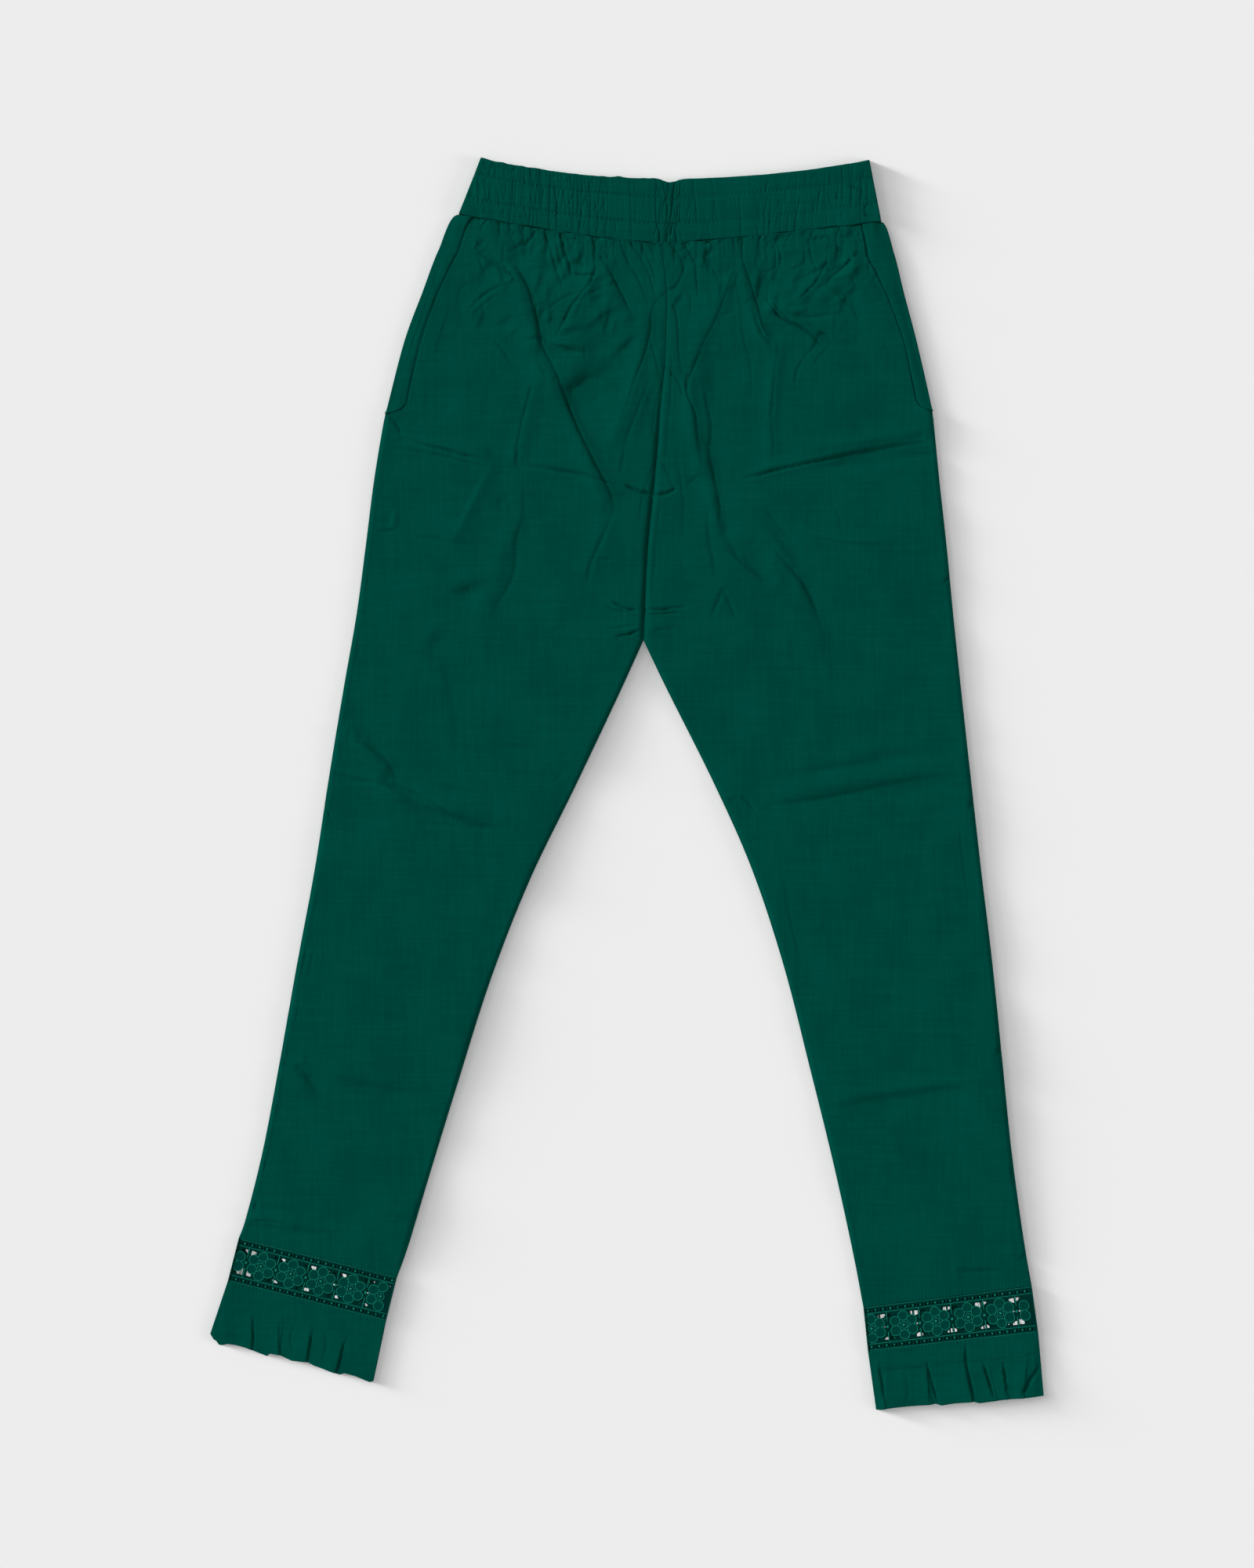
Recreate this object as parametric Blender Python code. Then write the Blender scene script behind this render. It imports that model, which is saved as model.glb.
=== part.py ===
"""Pull-on straight pants laid flat: gathered waistband, leg panels, pockets, lace bands and hem frills.

Sizes are in millimetres until a point becomes a vertex. X runs to the wearer's left, Y to the waist and
Z up from the surface that the garment lies on. The origin is the middle of the outline, at the surface.
"""
import math
from collections import namedtuple

import bmesh
import bpy
from mathutils import Vector

MM = 0.001

# Driving sizes: walls and the gap at every seam
CLOTH = 1.2
LACE_WALL = 1.0
BAND_WALL = 2.4
GAP = 0.3

# Front panels: spacing of their points above and below the crotch, and what lifts them
HIP_GRID = 9.5
LEG_GRID = 20.0
LEAST_COLUMNS = 7
SLOPE_STEP = 0.02
WIDEST_SLOPE = 1.5
PUFF = 1.8
SIDE_ROUNDING = 30.0
SEAM_DIP = 0.8
SEAM_DIP_WIDTH = 5.0
SEAM_CALM = 8.0
FOLD_AT_SIDE = 0.25
LACE_CALM_ROWS = 1.2
WAIST_LIFT = 1.6
WAIST_LIFT_LENGTH = 14.0
WAIST_GATHER = 1.5
WAIST_GATHER_LENGTH = 24.0
GATHER_WAVE = 2.1
GATHER_DRIFT = 17.0
GATHER_SWELL = 9.3

# Pocket facings, and how far the front stays lifted over them
FACING_OVERLAP = 6.0
FACING_CLEARANCE = 0.2
LIFT_WIDTH = 28.0
LIFT_FADE = 14.0

# Waistband casing
BAND_GATHERS = 46
BAND_RIDGE = 1.1
NOTCH_DEPTH = 3.0
NOTCH_WIDTH = 7.0

# Lace bands: the gaps beside the flowers, with the bar between a pair and the uncut rim at each end
LACE_HEIGHT = 35.0
GAP_FOOT = 7.0
GAP_TALL = 4.4
GAP_HALF = 5.2
GAP_SHOULDER = 0.6
BAR_HALF = 0.8
LACE_RIM = 2.0

# Hem frills: spacing of their points, sharp side of a pleat, and where the pleats begin to open
FRILL_GRID = 6.0
PLEAT_DROP = 2.0
FRILL_CALM = 8.0
PLEAT_START = 0.12
PLEAT_OPENING = 0.6

FRONT_BASE = CLOTH + GAP
BAND_FRONT_BASE = BAND_WALL + GAP

# Outline of each leg panel: where each section meets the outer side and the centre seam or inseam
LegRow = namedtuple("LegRow", "name outer_x outer_y inner_x inner_y")
RIGHT_ROWS = [
    LegRow("waist seam", -133, 450, 24, 427),
    LegRow("high pocket", -149, 422, 31, 394),
    LegRow("pocket", -162, 388, 31, 361),
    LegRow("high hip", -176, 350, 30, 333),
    LegRow("hip", -189, 300, 27, 305),
    LegRow("pocket end", -192, 288, 26, 296),
    LegRow("low hip", -200, 240, 22, 246),
    LegRow("seat", -207, 185, 16, 186),
    LegRow("crotch", -214, 133, 13, 114),
    LegRow("upper thigh", -224, 76, -5, 74),
    LegRow("mid thigh", -236, 3, -41, -2),
    LegRow("above knee", -247, -68, -77, -76),
    LegRow("knee", -261, -143, -108, -155),
    LegRow("calf", -275, -222, -135, -240),
    LegRow("low calf", -288, -290, -158, -315),
    LegRow("flare", -301, -342, -173, -365),
    LegRow("lace seam", -307, -359, -182, -390),
]
LEFT_ROWS = [
    LegRow("waist seam", 201, 444, 24, 427),
    LegRow("high pocket", 211, 420, 31, 394),
    LegRow("pocket", 219, 388, 31, 361),
    LegRow("high hip", 229, 350, 30, 333),
    LegRow("hip", 240, 302, 27, 305),
    LegRow("pocket end", 242, 290, 26, 296),
    LegRow("low hip", 247, 240, 22, 246),
    LegRow("seat", 253, 185, 16, 186),
    LegRow("crotch", 258, 133, 13, 114),
    LegRow("upper thigh", 264, 76, 31, 76),
    LegRow("mid thigh", 272, 3, 69, 0),
    LegRow("above knee", 280, -68, 99, -68),
    LegRow("knee", 289, -143, 124, -144),
    LegRow("calf", 297, -222, 145, -226),
    LegRow("low calf", 304, -290, 163, -299),
    LegRow("flare", 313, -356, 178, -367),
    LegRow("lace seam", 320, -397, 187, -414),
]
ROW_OF = {row.name: index for index, row in enumerate(RIGHT_ROWS)}
CROTCH = ROW_OF["crotch"]
MOUTH_END = ROW_OF["hip"]
POCKET_END = ROW_OF["pocket end"]
LACE_SEAM = ROW_OF["lace seam"]

# One leg: its rows, pocket strip width, corners of lace and hem, how far the hem bows, the flowers' pitch,
# the place of the first gaps and how far the back half's pattern lies from the front's
Leg = namedtuple(
    "Leg",
    "side rows strip lace_outer lace_inner hem_outer hem_inner bow pitch first_gap back_shift pleats",
)
# Knife pleats of a frill: place along its top and its hem from the outer side, height and soft side's width
Pleat = namedtuple("Pleat", "top hem height soft")
RIGHT_PLEATS = [
    Pleat(0.18, 0.25, 1.9, 10.0),
    Pleat(0.36, 0.42, 2.1, 10.0),
    Pleat(0.57, 0.59, 2.3, 9.0),
    Pleat(0.80, 0.77, 2.4, 9.0),
]
LEFT_PLEATS = [
    Pleat(0.05, 0.12, 1.8, 6.0),
    Pleat(0.23, 0.21, 2.2, 7.0),
    Pleat(0.33, 0.28, 2.4, 6.0),
    Pleat(0.43, 0.43, 2.6, 10.0),
    Pleat(0.66, 0.67, 2.1, 9.0),
    Pleat(0.96, 0.95, 1.6, 8.0),
]
RIGHT_LEG = Leg(
    side="right", rows=RIGHT_ROWS, strip=14.5,
    lace_outer=(-315.5, -392.5), lace_inner=(-190.5, -424),
    hem_outer=(-329.5, -434.5), hem_inner=(-200.5, -471.5), bow=6.0,
    pitch=24.4, first_gap=10.5, back_shift=6.5, pleats=RIGHT_PLEATS,
)
LEFT_LEG = Leg(
    side="left", rows=LEFT_ROWS, strip=12.5,
    lace_outer=(325, -433), lace_inner=(190.5, -448),
    hem_outer=(329.5, -483.5), hem_inner=(197, -494.5), bow=1.5,
    pitch=25.8, first_gap=14.5, back_shift=1.6, pleats=LEFT_PLEATS,
)

# Waistband: each long edge as its right end, its dip, its left end, and the power of its rise from the dip
Edge = namedtuple("Edge", "right dip left power")
BAND_BOTTOM = Edge((-133, 450), (24, 427), (201, 444), 1.3)
BAND_TOP = Edge((-115.5, 494.5), (34, 478.5), (191.5, 493), 2.1)
# Channels of the front casing from seam to top edge: the stitch rows press it flatter
Channel = namedtuple("Channel", "height fullness")
CHANNELS = [
    Channel(0.0, 0.75),
    Channel(0.14, 1.0),
    Channel(0.29, 0.7),
    Channel(0.5, 1.0),
    Channel(0.72, 0.7),
    Channel(0.86, 1.0),
    Channel(1.0, 0.65),
]

# Folds pressed into the front, as lines from start to end with a sideways bend in the middle
Fold = namedtuple("Fold", "name x0 y0 x1 y1 bend height width")
FOLDS = [
    Fold("right hip diagonal, upper", -93, 408, -73, 342, 2, 2.6, 7),
    Fold("right hip diagonal, lower", -74, 338, -17, 222, 3, 3.2, 8),
    Fold("right hip diagonal, foot", -15, 210, -34, 165, 3, 1.2, 9),
    Fold("right belly gather, inner", -29, 408, -54, 352, 6, 1.8, 6),
    Fold("right belly gather, outer", -20, 410, 2, 366, -2, 1.8, 6),
    Fold("right belly hollow", -8, 358, -38, 308, -6, -1.4, 9),
    Fold("right front beside seam", 14, 372, -14, 268, 6, 2.4, 6),
    Fold("right hip branch", -72, 326, -92, 252, 4, 1.6, 7),
    Fold("right pocket slant", -96, 396, -128, 372, 2, 1.6, 7),
    Fold("right packing crease", -176, 268, -112, 259, 2, 1.4, 6),
    Fold("right middle crease", -80, 252, -8, 234, 0, 1.1, 7),
    Fold("right thigh line", -84, 214, -112, 128, -6, 1.2, 9),
    Fold("right thigh ridge", -106, 256, -140, 190, 0, 1.1, 8),
    Fold("right knee crease, outer", -224, 44, -190, 8, 5, 1.8, 9),
    Fold("right knee crease, inner", -186, 0, -116, -31, -4, 1.5, 11),
    Fold("right calf crease", -262, -218, -190, -242, 3, 1.1, 9),
    Fold("left side of seam, arm", 84, 400, 52, 330, -4, 2.2, 7),
    Fold("left side of seam, stem", 50, 322, 58, 246, -3, 2.6, 6),
    Fold("left side of seam, foot", 62, 262, 74, 202, -2, 2.0, 6),
    Fold("left belly line", 92, 414, 116, 344, -5, 1.8, 6),
    Fold("left belly tuck", 112, 378, 150, 352, 2, 2.6, 6),
    Fold("left hip slant", 184, 414, 150, 382, 2, 2.2, 6),
    Fold("left hip slant, second", 158, 406, 134, 382, 0, 1.8, 6),
    Fold("left belly upright", 122, 352, 113, 258, -3, 1.4, 6),
    Fold("left packing crease", 100, 246, 236, 270, 2, 3.0, 5),
    Fold("left packing hollow", 120, 258, 226, 280, 2, -1.0, 6),
    Fold("left thigh curve, inner", 80, 196, 122, 158, 8, 1.3, 9),
    Fold("left thigh curve, outer", 112, 180, 154, 112, -8, 1.5, 9),
    Fold("left low crease", 128, 192, 238, 186, 2, 0.9, 7),
    Fold("left knee crease", 116, -12, 262, 12, 3, 2.2, 8),
    Fold("left knee hollow", 100, -22, 250, -2, 3, -0.8, 7),
    Fold("left calf crease", 164, -250, 276, -236, 2, 1.1, 8),
    Fold("left ankle crease", 258, -382, 300, -380, 0, 1.0, 5),
    Fold("right ankle crease", -296, -342, -262, -350, 0, 1.0, 6),
    Fold("crotch wrinkle, upper", -10, 139, 42, 137, 0, 0.9, 4),
    Fold("crotch wrinkle, lower", -12, 122, 24, 124, 0, 0.8, 4),
]
FOLD_FADE = 0.2
FOLD_REACH = 3.0

CLOTH_GREEN = (0.0006, 0.054, 0.040)
LACE_GREEN = (0.001, 0.080, 0.062)


def ease(value):
    """Smooth step from 0 to 1."""
    value = min(1.0, max(0.0, value))
    return value * value * (3 - 2 * value)


def along(points, place):
    """Point on a smooth curve through 2D points, at a place counted in points."""
    index = min(int(place), len(points) - 2)
    t = place - index
    near = Vector(points[index])
    far = Vector(points[index + 1])
    before = Vector(points[max(index - 1, 0)])
    after = Vector(points[min(index + 2, len(points) - 1)])
    start = (far - before) / 2
    end = (after - near) / 2
    h1 = 2 * t**3 - 3 * t**2 + 1
    h2 = t**3 - 2 * t**2 + t
    h3 = 3 * t**2 - 2 * t**3
    h4 = t**3 - t**2
    return near * h1 + start * h2 + far * h3 + end * h4


def sagging(edge, x):
    """Height in Y of an edge that dips between its two ends, at x."""
    dip_x, dip_y = edge.dip
    end_x, end_y = edge.right if x < dip_x else edge.left
    share = min(1.0, (x - dip_x) / (end_x - dip_x))
    return dip_y + (end_y - dip_y) * share**edge.power


def outer_edge(leg, place):
    """Side seam of a leg at a place counted in rows."""
    return along([(row.outer_x, row.outer_y) for row in leg.rows], place)


def inner_edge(leg, place):
    """Centre seam down to the crotch, then the inseam."""
    inner = [(row.inner_x, row.inner_y) for row in leg.rows]
    if place < CROTCH:
        return along(inner[: CROTCH + 1], place)
    return along(inner[CROTCH:], place - CROTCH)


def outward(leg):
    """Direction along X from the body's centre to this leg's side."""
    return -1 if leg.side == "right" else 1


def panel_point(leg, u, place, pocket):
    """Point of a leg panel: u from its outer to its inner edge, place counted in rows."""
    outer = outer_edge(leg, place)
    inner = inner_edge(leg, place)
    if pocket and place <= MOUTH_END:
        outer = outer + (inner - outer).normalized() * leg.strip
    point = outer.lerp(inner, u)
    sag = sagging(BAND_BOTTOM, point.x) - point.y
    point.y += sag * ease(1 - place) - GAP / 2 * (place < 1)
    seam = Vector((-outward(leg) * GAP / 2, 0)) if place < CROTCH + 0.5 else Vector((0, 0))
    return point - seam * u


def from_fold(fold, point):
    """Share along a fold and distance across it, from its bent line."""
    start = Vector((fold.x0, fold.y0))
    chord = Vector((fold.x1, fold.y1)) - start
    away = point - start
    share = away.dot(chord) / chord.length_squared
    held = min(1.0, max(0.0, share))
    across = Vector((-chord.y, chord.x)).normalized()
    return share, away.dot(across) - fold.bend * 4 * held * (1 - held)


def fold_height(point):
    """Height of all folds together at a point."""
    total = 0.0
    for fold in FOLDS:
        share, distance = from_fold(fold, point)
        if abs(distance) > FOLD_REACH * fold.width:
            continue
        ends = ease(share / FOLD_FADE + 0.5) * ease((1 - share) / FOLD_FADE + 0.5)
        total += fold.height * ends * math.exp(-((distance / fold.width) ** 2))
    return total


def gather_height(point, below):
    """Short gathers that hang from the waist seam, at a distance below it."""
    wave = 0.55 + 0.45 * math.sin(point.x / GATHER_WAVE + 1.7 * math.sin(point.x / GATHER_DRIFT))
    uneven = 0.65 + 0.35 * math.sin(point.x / GATHER_SWELL + 0.6)
    return WAIST_GATHER * wave * uneven * math.exp(-below / WAIST_GATHER_LENGTH)


def front_height(leg, u, place):
    """Height of a front panel's underside over the back panel's face."""
    point = panel_point(leg, u, place, True)
    outer = outer_edge(leg, place)
    inner = inner_edge(leg, place)
    from_outer = (point - outer).length
    from_inner = (point - inner).length
    near_side = ease(from_outer / SIDE_ROUNDING)
    near_seam = 1 - SEAM_DIP * math.exp(-((from_inner / SEAM_DIP_WIDTH) ** 2))
    near_inseam = ease(from_inner / SIDE_ROUNDING)
    split = ease((place - CROTCH + 1) / 1.5)
    rounding = near_side * (near_seam * (1 - split) + near_inseam * split)
    calm = ease((LACE_SEAM - place) / LACE_CALM_ROWS)
    folds = fold_height(point) * (FOLD_AT_SIDE + (1 - FOLD_AT_SIDE) * near_side)
    height = (PUFF * rounding + folds * ease((from_inner + 2) / SEAM_CALM)) * calm
    below = max(0.0, sagging(BAND_BOTTOM, point.x) - point.y)
    height += WAIST_LIFT * math.exp(-below / WAIST_LIFT_LENGTH) + gather_height(point, below)
    if place <= MOUTH_END:
        inside = from_outer - leg.strip
        lift = CLOTH + GAP + FACING_CLEARANCE
        height = max(height, lift * ease((LIFT_WIDTH - inside) / LIFT_FADE))
    return max(0.0, height)


def spaced(start, stop, step):
    """Whole number of even steps from start to stop."""
    count = max(1, round((stop - start) / step))
    return [start + (stop - start) * index / count for index in range(count + 1)]


def row_places():
    """Places of a front panel's rows, closer together above the crotch than below."""
    places = spaced(0, 1, 1 / 4) + spaced(1, MOUTH_END, 1 / 4)[1:]
    places += spaced(POCKET_END, CROTCH, 1 / 5.5)
    places += spaced(CROTCH, LACE_SEAM, 1 / 3.6)[1:]
    return places


def zip_rows(mesh, near, far, flipped):
    """Triangles between two rows of vertices that may differ in count."""
    i = 0
    j = 0
    last_i = len(near) - 1
    last_j = len(far) - 1
    while i < last_i or j < last_j:
        if j == last_j or (i < last_i and (i + 1) / last_i <= (j + 1) / last_j):
            corners = [near[i], near[i + 1], far[j]]
            i += 1
        else:
            corners = [near[i], far[j + 1], far[j]]
            j += 1
        mesh.faces.new(corners[::-1] if flipped else corners)


def wall(name, tops, undersides, colour):
    """Closed wall between two stacks of rows of points, given in millimetres."""
    mesh = bmesh.new()
    upper = [[mesh.verts.new(point * MM) for point in row] for row in tops]
    lower = [[mesh.verts.new(point * MM) for point in row] for row in undersides]
    for near, far in zip(upper, upper[1:]):
        zip_rows(mesh, near, far, False)
    for near, far in zip(lower, lower[1:]):
        zip_rows(mesh, near, far, True)
    rims = []
    for rows in (upper, lower):
        right = [row[-1] for row in rows[1:-1]]
        left = [row[0] for row in rows[-2:0:-1]]
        rims.append(rows[0] + right + rows[-1][::-1] + left)
    for index, corner in enumerate(rims[0]):
        before = index - 1
        mesh.faces.new([rims[0][before], corner, rims[1][index], rims[1][before]])
    bmesh.ops.recalc_face_normals(mesh, faces=mesh.faces)
    bmesh.ops.triangulate(mesh, faces=mesh.faces)
    data = bpy.data.meshes.new(name)
    mesh.to_mesh(data)
    mesh.free()
    return placed(name, data, colour)


def placed(name, data, colour):
    """Object of a mesh or curve, in the garment's collection and with its own material."""
    obj = bpy.data.objects.new(name, data)
    bpy.data.collections["straight_pants"].objects.link(obj)
    material = bpy.data.materials.new(name)
    material.use_nodes = True
    shader = material.node_tree.nodes["Principled BSDF"]
    shader.inputs["Base Color"].default_value = (*colour, 1)
    shader.inputs["Roughness"].default_value = 0.85
    shader.inputs["Metallic"].default_value = 0.0
    data.materials.append(material)
    return obj


def sheet(name, outline, holes, bottom, thickness, colour):
    """Flat cloth or lace: an outline and holes, extruded up from its underside."""
    curve = bpy.data.curves.new(name, "CURVE")
    curve.dimensions = "2D"
    curve.fill_mode = "BOTH"
    curve.extrude = thickness / 2 * MM
    for loop in [outline, *holes]:
        spline = curve.splines.new("POLY")
        spline.points.add(len(loop) - 1)
        for point, place in zip(spline.points, loop):
            point.co = (place[0] * MM, place[1] * MM, 0, 1)
        spline.use_cyclic_u = True
    obj = placed(name, curve, colour)
    obj.location.z = (bottom + thickness / 2) * MM
    return obj


def with_height(point, height):
    """Point in space over a point of the plan."""
    return Vector((point.x, point.y, height))


def front_panel(leg):
    """Front leg panel: a wall that puffs, folds and gathers over the back panel."""
    tops = []
    undersides = []
    for place in row_places():
        across = (panel_point(leg, 1, place, True) - panel_point(leg, 0, place, True)).length
        if place < 1:
            step = HIP_GRID * (0.6 + 0.4 * place)
        else:
            step = HIP_GRID + (LEG_GRID - HIP_GRID) * ease((place - CROTCH + 1) / 2)
        count = max(LEAST_COLUMNS, round(across / step))
        top = []
        underside = []
        for index in range(count + 1):
            u = index / count
            point = panel_point(leg, u, place, True)
            height = front_height(leg, u, place)
            before = max(0, u - SLOPE_STEP)
            after = min(1, u + SLOPE_STEP)
            rise = front_height(leg, after, place) - front_height(leg, before, place)
            slope = rise / (across * (after - before))
            thickness = CLOTH * min(WIDEST_SLOPE, math.sqrt(1 + slope * slope))
            underside.append(with_height(point, FRONT_BASE + height))
            top.append(with_height(point, FRONT_BASE + height + thickness))
        tops.append(top)
        undersides.append(underside)
    wall(f"front_{leg.side}", tops, undersides, CLOTH_GREEN)


def back_panel(leg):
    """Back leg panel: flat on the surface from side seam to centre seam and inseam."""
    places = spaced(0, LACE_SEAM, 0.5)
    outer = [panel_point(leg, 0, place, False) for place in places]
    inner = [panel_point(leg, 1, place, False) for place in places]
    seam = [panel_point(leg, share, 0, False) for share in spaced(0, 1, 1 / 16)[1:-1]]
    sheet(f"back_{leg.side}", outer + inner[::-1] + seam[::-1], [], 0, CLOTH, CLOTH_GREEN)


def pocket_facing(leg):
    """Strip of the pocket that shows beside the mouth and runs on under the front panel."""
    outer = []
    inner = []
    for place in spaced(0, MOUTH_END, 0.5):
        across = (inner_edge(leg, place) - outer_edge(leg, place)).length
        outer.append(panel_point(leg, 0, place, False))
        inner.append(panel_point(leg, (leg.strip + FACING_OVERLAP) / across, place, False))
    top = outer[0].lerp(inner[0], 0.5)
    top.y = sagging(BAND_BOTTOM, top.x) - GAP / 2
    tip = outer_edge(leg, POCKET_END - 0.25)
    inner[-1].y += 2
    name = f"pocket_facing_{leg.side}"
    sheet(name, outer + [tip] + inner[::-1] + [top], [], FRONT_BASE, CLOTH, CLOTH_GREEN)


def band_point(share, height):
    """Point of the waistband: share from the right end to the left, height from seam to top."""
    low_x = BAND_BOTTOM.right[0] + (BAND_BOTTOM.left[0] - BAND_BOTTOM.right[0]) * share
    high_x = BAND_TOP.right[0] + (BAND_TOP.left[0] - BAND_TOP.right[0]) * share
    notch = NOTCH_DEPTH * math.exp(-(((high_x - BAND_TOP.dip[0]) / NOTCH_WIDTH) ** 2))
    low = Vector((low_x, sagging(BAND_BOTTOM, low_x) + GAP / 2))
    high = Vector((high_x, sagging(BAND_TOP, high_x) - notch))
    return low.lerp(high, height)


def waistband_front():
    """Front half of the elastic casing: two stitch rows press three channels into its gathers."""
    columns = 2 * BAND_GATHERS
    tops = []
    for height, fullness in CHANNELS:
        row = []
        for index in range(columns + 1):
            inside = 0 < index < columns
            share = (index + 0.3 * math.sin(index * 2.4) * inside) / columns
            ridge = index % 2 * (0.65 + 0.35 * math.sin(index * 1.7))
            crest = BAND_WALL * fullness + BAND_RIDGE * ridge * (fullness - 0.3)
            row.append(with_height(band_point(share, height), BAND_FRONT_BASE + crest))
        tops.append(row)
    undersides = [[with_height(point, BAND_FRONT_BASE) for point in row] for row in tops]
    wall("waistband_front", tops, undersides, CLOTH_GREEN)


def waistband_back():
    """Back half of the elastic casing, flat on the surface."""
    shares = spaced(0, 1, 1 / 32)
    low = [band_point(share, 0) for share in shares]
    high = [band_point(share, 1) for share in shares]
    sheet("waistband_back", low + high[::-1], [], 0, BAND_WALL, CLOTH_GREEN)


def lace_point(leg, share, height):
    """Point of a lace band: share from the outer to the inner side, height from its foot up."""
    foot = Vector(leg.lace_outer).lerp(Vector(leg.lace_inner), share)
    last = leg.rows[-1]
    head = Vector((last.outer_x, last.outer_y)).lerp(Vector((last.inner_x, last.inner_y)), share)
    clear = (head - foot).normalized() * GAP
    return (foot + clear / 2).lerp(head - clear, height)


def lace_holes(leg, shift):
    """Gaps beside each flower: a pair under the upper border and a pair over the lower one."""
    width = (Vector(leg.lace_outer) - Vector(leg.lace_inner)).length
    holes = []
    middle = leg.first_gap + shift
    while middle < width:
        for low, tall in ((GAP_FOOT, GAP_TALL), (LACE_HEIGHT - GAP_FOOT, -GAP_TALL)):
            for way in (-1, 1):
                shoulder = (GAP_HALF + GAP_SHOULDER, tall / 3)
                shape = ((BAR_HALF, 0), (GAP_HALF, 0), shoulder, (BAR_HALF, tall))
                loop = [(middle + way * x, low + y) for x, y in shape]
                sides = [x for x, y in loop]
                if LACE_RIM < min(sides) and max(sides) < width - LACE_RIM:
                    holes.append([lace_point(leg, x / width, y / LACE_HEIGHT) for x, y in loop])
        middle += leg.pitch
    return holes


def lace_band(leg):
    """Lace of one leg as a front and a back half, with its wide gaps cut through."""
    corners = [lace_point(leg, share, height) for share, height in ((0, 0), (1, 0), (1, 1), (0, 1))]
    name = f"lace_{leg.side}"
    sheet(f"{name}_front", corners, lace_holes(leg, 0), FRONT_BASE, LACE_WALL, LACE_GREEN)
    sheet(f"{name}_back", corners, lace_holes(leg, leg.back_shift), 0, LACE_WALL, LACE_GREEN)


def frill_point(leg, top_share, hem_share, drop):
    """Point of a frill: shares along its top and its hem, drop from 0 at the lace to 1 at the hem."""
    top = Vector(leg.lace_outer).lerp(Vector(leg.lace_inner), top_share)
    hem = Vector(leg.hem_outer).lerp(Vector(leg.hem_inner), hem_share)
    down = (hem - top).normalized()
    bow = leg.bow * ease(hem_share / 0.1) * ease((1 - hem_share) / 0.05) * (1 - 0.6 * hem_share)
    return (top + down * GAP / 2).lerp(hem + down * bow, drop)


def frill_stations(leg):
    """Columns of a frill: even ones between the pleats, one at each crest and one at the foot of its drop."""
    width = (Vector(leg.hem_outer) - Vector(leg.hem_inner)).length
    drop_side = -outward(leg) * 1.5 * PLEAT_DROP / width
    marks = [(0, 0), (1, 1)]
    for pleat in leg.pleats:
        marks += [(pleat.top, pleat.hem), (pleat.top + drop_side, pleat.hem + drop_side)]
    marks.sort(key=lambda mark: mark[1])
    stations = []
    for near, far in zip(marks, marks[1:]):
        steps = spaced(0, 1, FRILL_GRID / (width * (far[1] - near[1])))[:-1]
        stations += [(near[0] + (far[0] - near[0]) * t, near[1] + (far[1] - near[1]) * t) for t in steps]
    return stations + [(1, 1)]


def frill_height(leg, hem_share, drop):
    """Height of a frill's pleats: each drops sharply towards the wearer's left and falls softly behind."""
    width = (Vector(leg.hem_outer) - Vector(leg.hem_inner)).length
    total = 0.0
    for pleat in leg.pleats:
        line = pleat.top + (pleat.hem - pleat.top) * drop
        distance = (hem_share - line) * width
        reach = PLEAT_DROP if -outward(leg) * distance > 0 else pleat.soft
        total += pleat.height * math.exp(-((distance / reach) ** 2))
    edge = ease(min(hem_share, 1 - hem_share) * width / FRILL_CALM)
    return total * ease((drop - PLEAT_START) / PLEAT_OPENING) * (0.3 + 0.7 * edge)


def frill(leg):
    """Hem frill of one leg: knife pleats on the front half, a flat back half."""
    tops = []
    undersides = []
    stations = frill_stations(leg)
    for drop in (0, 0.3, 0.5, 0.75, 1):
        top = []
        underside = []
        for top_share, hem_share in stations:
            point = frill_point(leg, top_share, hem_share, drop)
            share = top_share + (hem_share - top_share) * drop
            height = frill_height(leg, share, drop)
            underside.append(with_height(point, FRONT_BASE + height))
            top.append(with_height(point, FRONT_BASE + height + CLOTH))
        tops.append(top)
        undersides.append(underside)
    wall(f"frill_{leg.side}_front", tops, undersides, CLOTH_GREEN)
    outline = [frill_point(leg, share, share, 0) for share in (0, 1)]
    outline += [frill_point(leg, share, share, 1) for share in spaced(0, 1, 1 / 12)[::-1]]
    sheet(f"frill_{leg.side}_back", outline, [], 0, CLOTH, CLOTH_GREEN)


def main():
    for obj in list(bpy.data.objects):
        bpy.data.objects.remove(obj, do_unlink=True)
    collection = bpy.data.collections.new("straight_pants")
    bpy.context.scene.collection.children.link(collection)
    waistband_back()
    waistband_front()
    for leg in (RIGHT_LEG, LEFT_LEG):
        back_panel(leg)
        pocket_facing(leg)
        front_panel(leg)
        lace_band(leg)
        frill(leg)


main()
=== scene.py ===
"""Looks of pull-on straight pants laid flat: creased cotton, gathered waist, corded lace and pleated frills.

Sizes are in millimetres until a point becomes a vertex. X runs to the wearer's left, Y to the waist and
Z up from the surface. The plan of each piece repeats the rows of part.py, which a frame can't give.
"""
import math
from collections import namedtuple

import bmesh
import bpy
import numpy as np
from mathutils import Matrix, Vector
from mathutils.kdtree import KDTree


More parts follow.
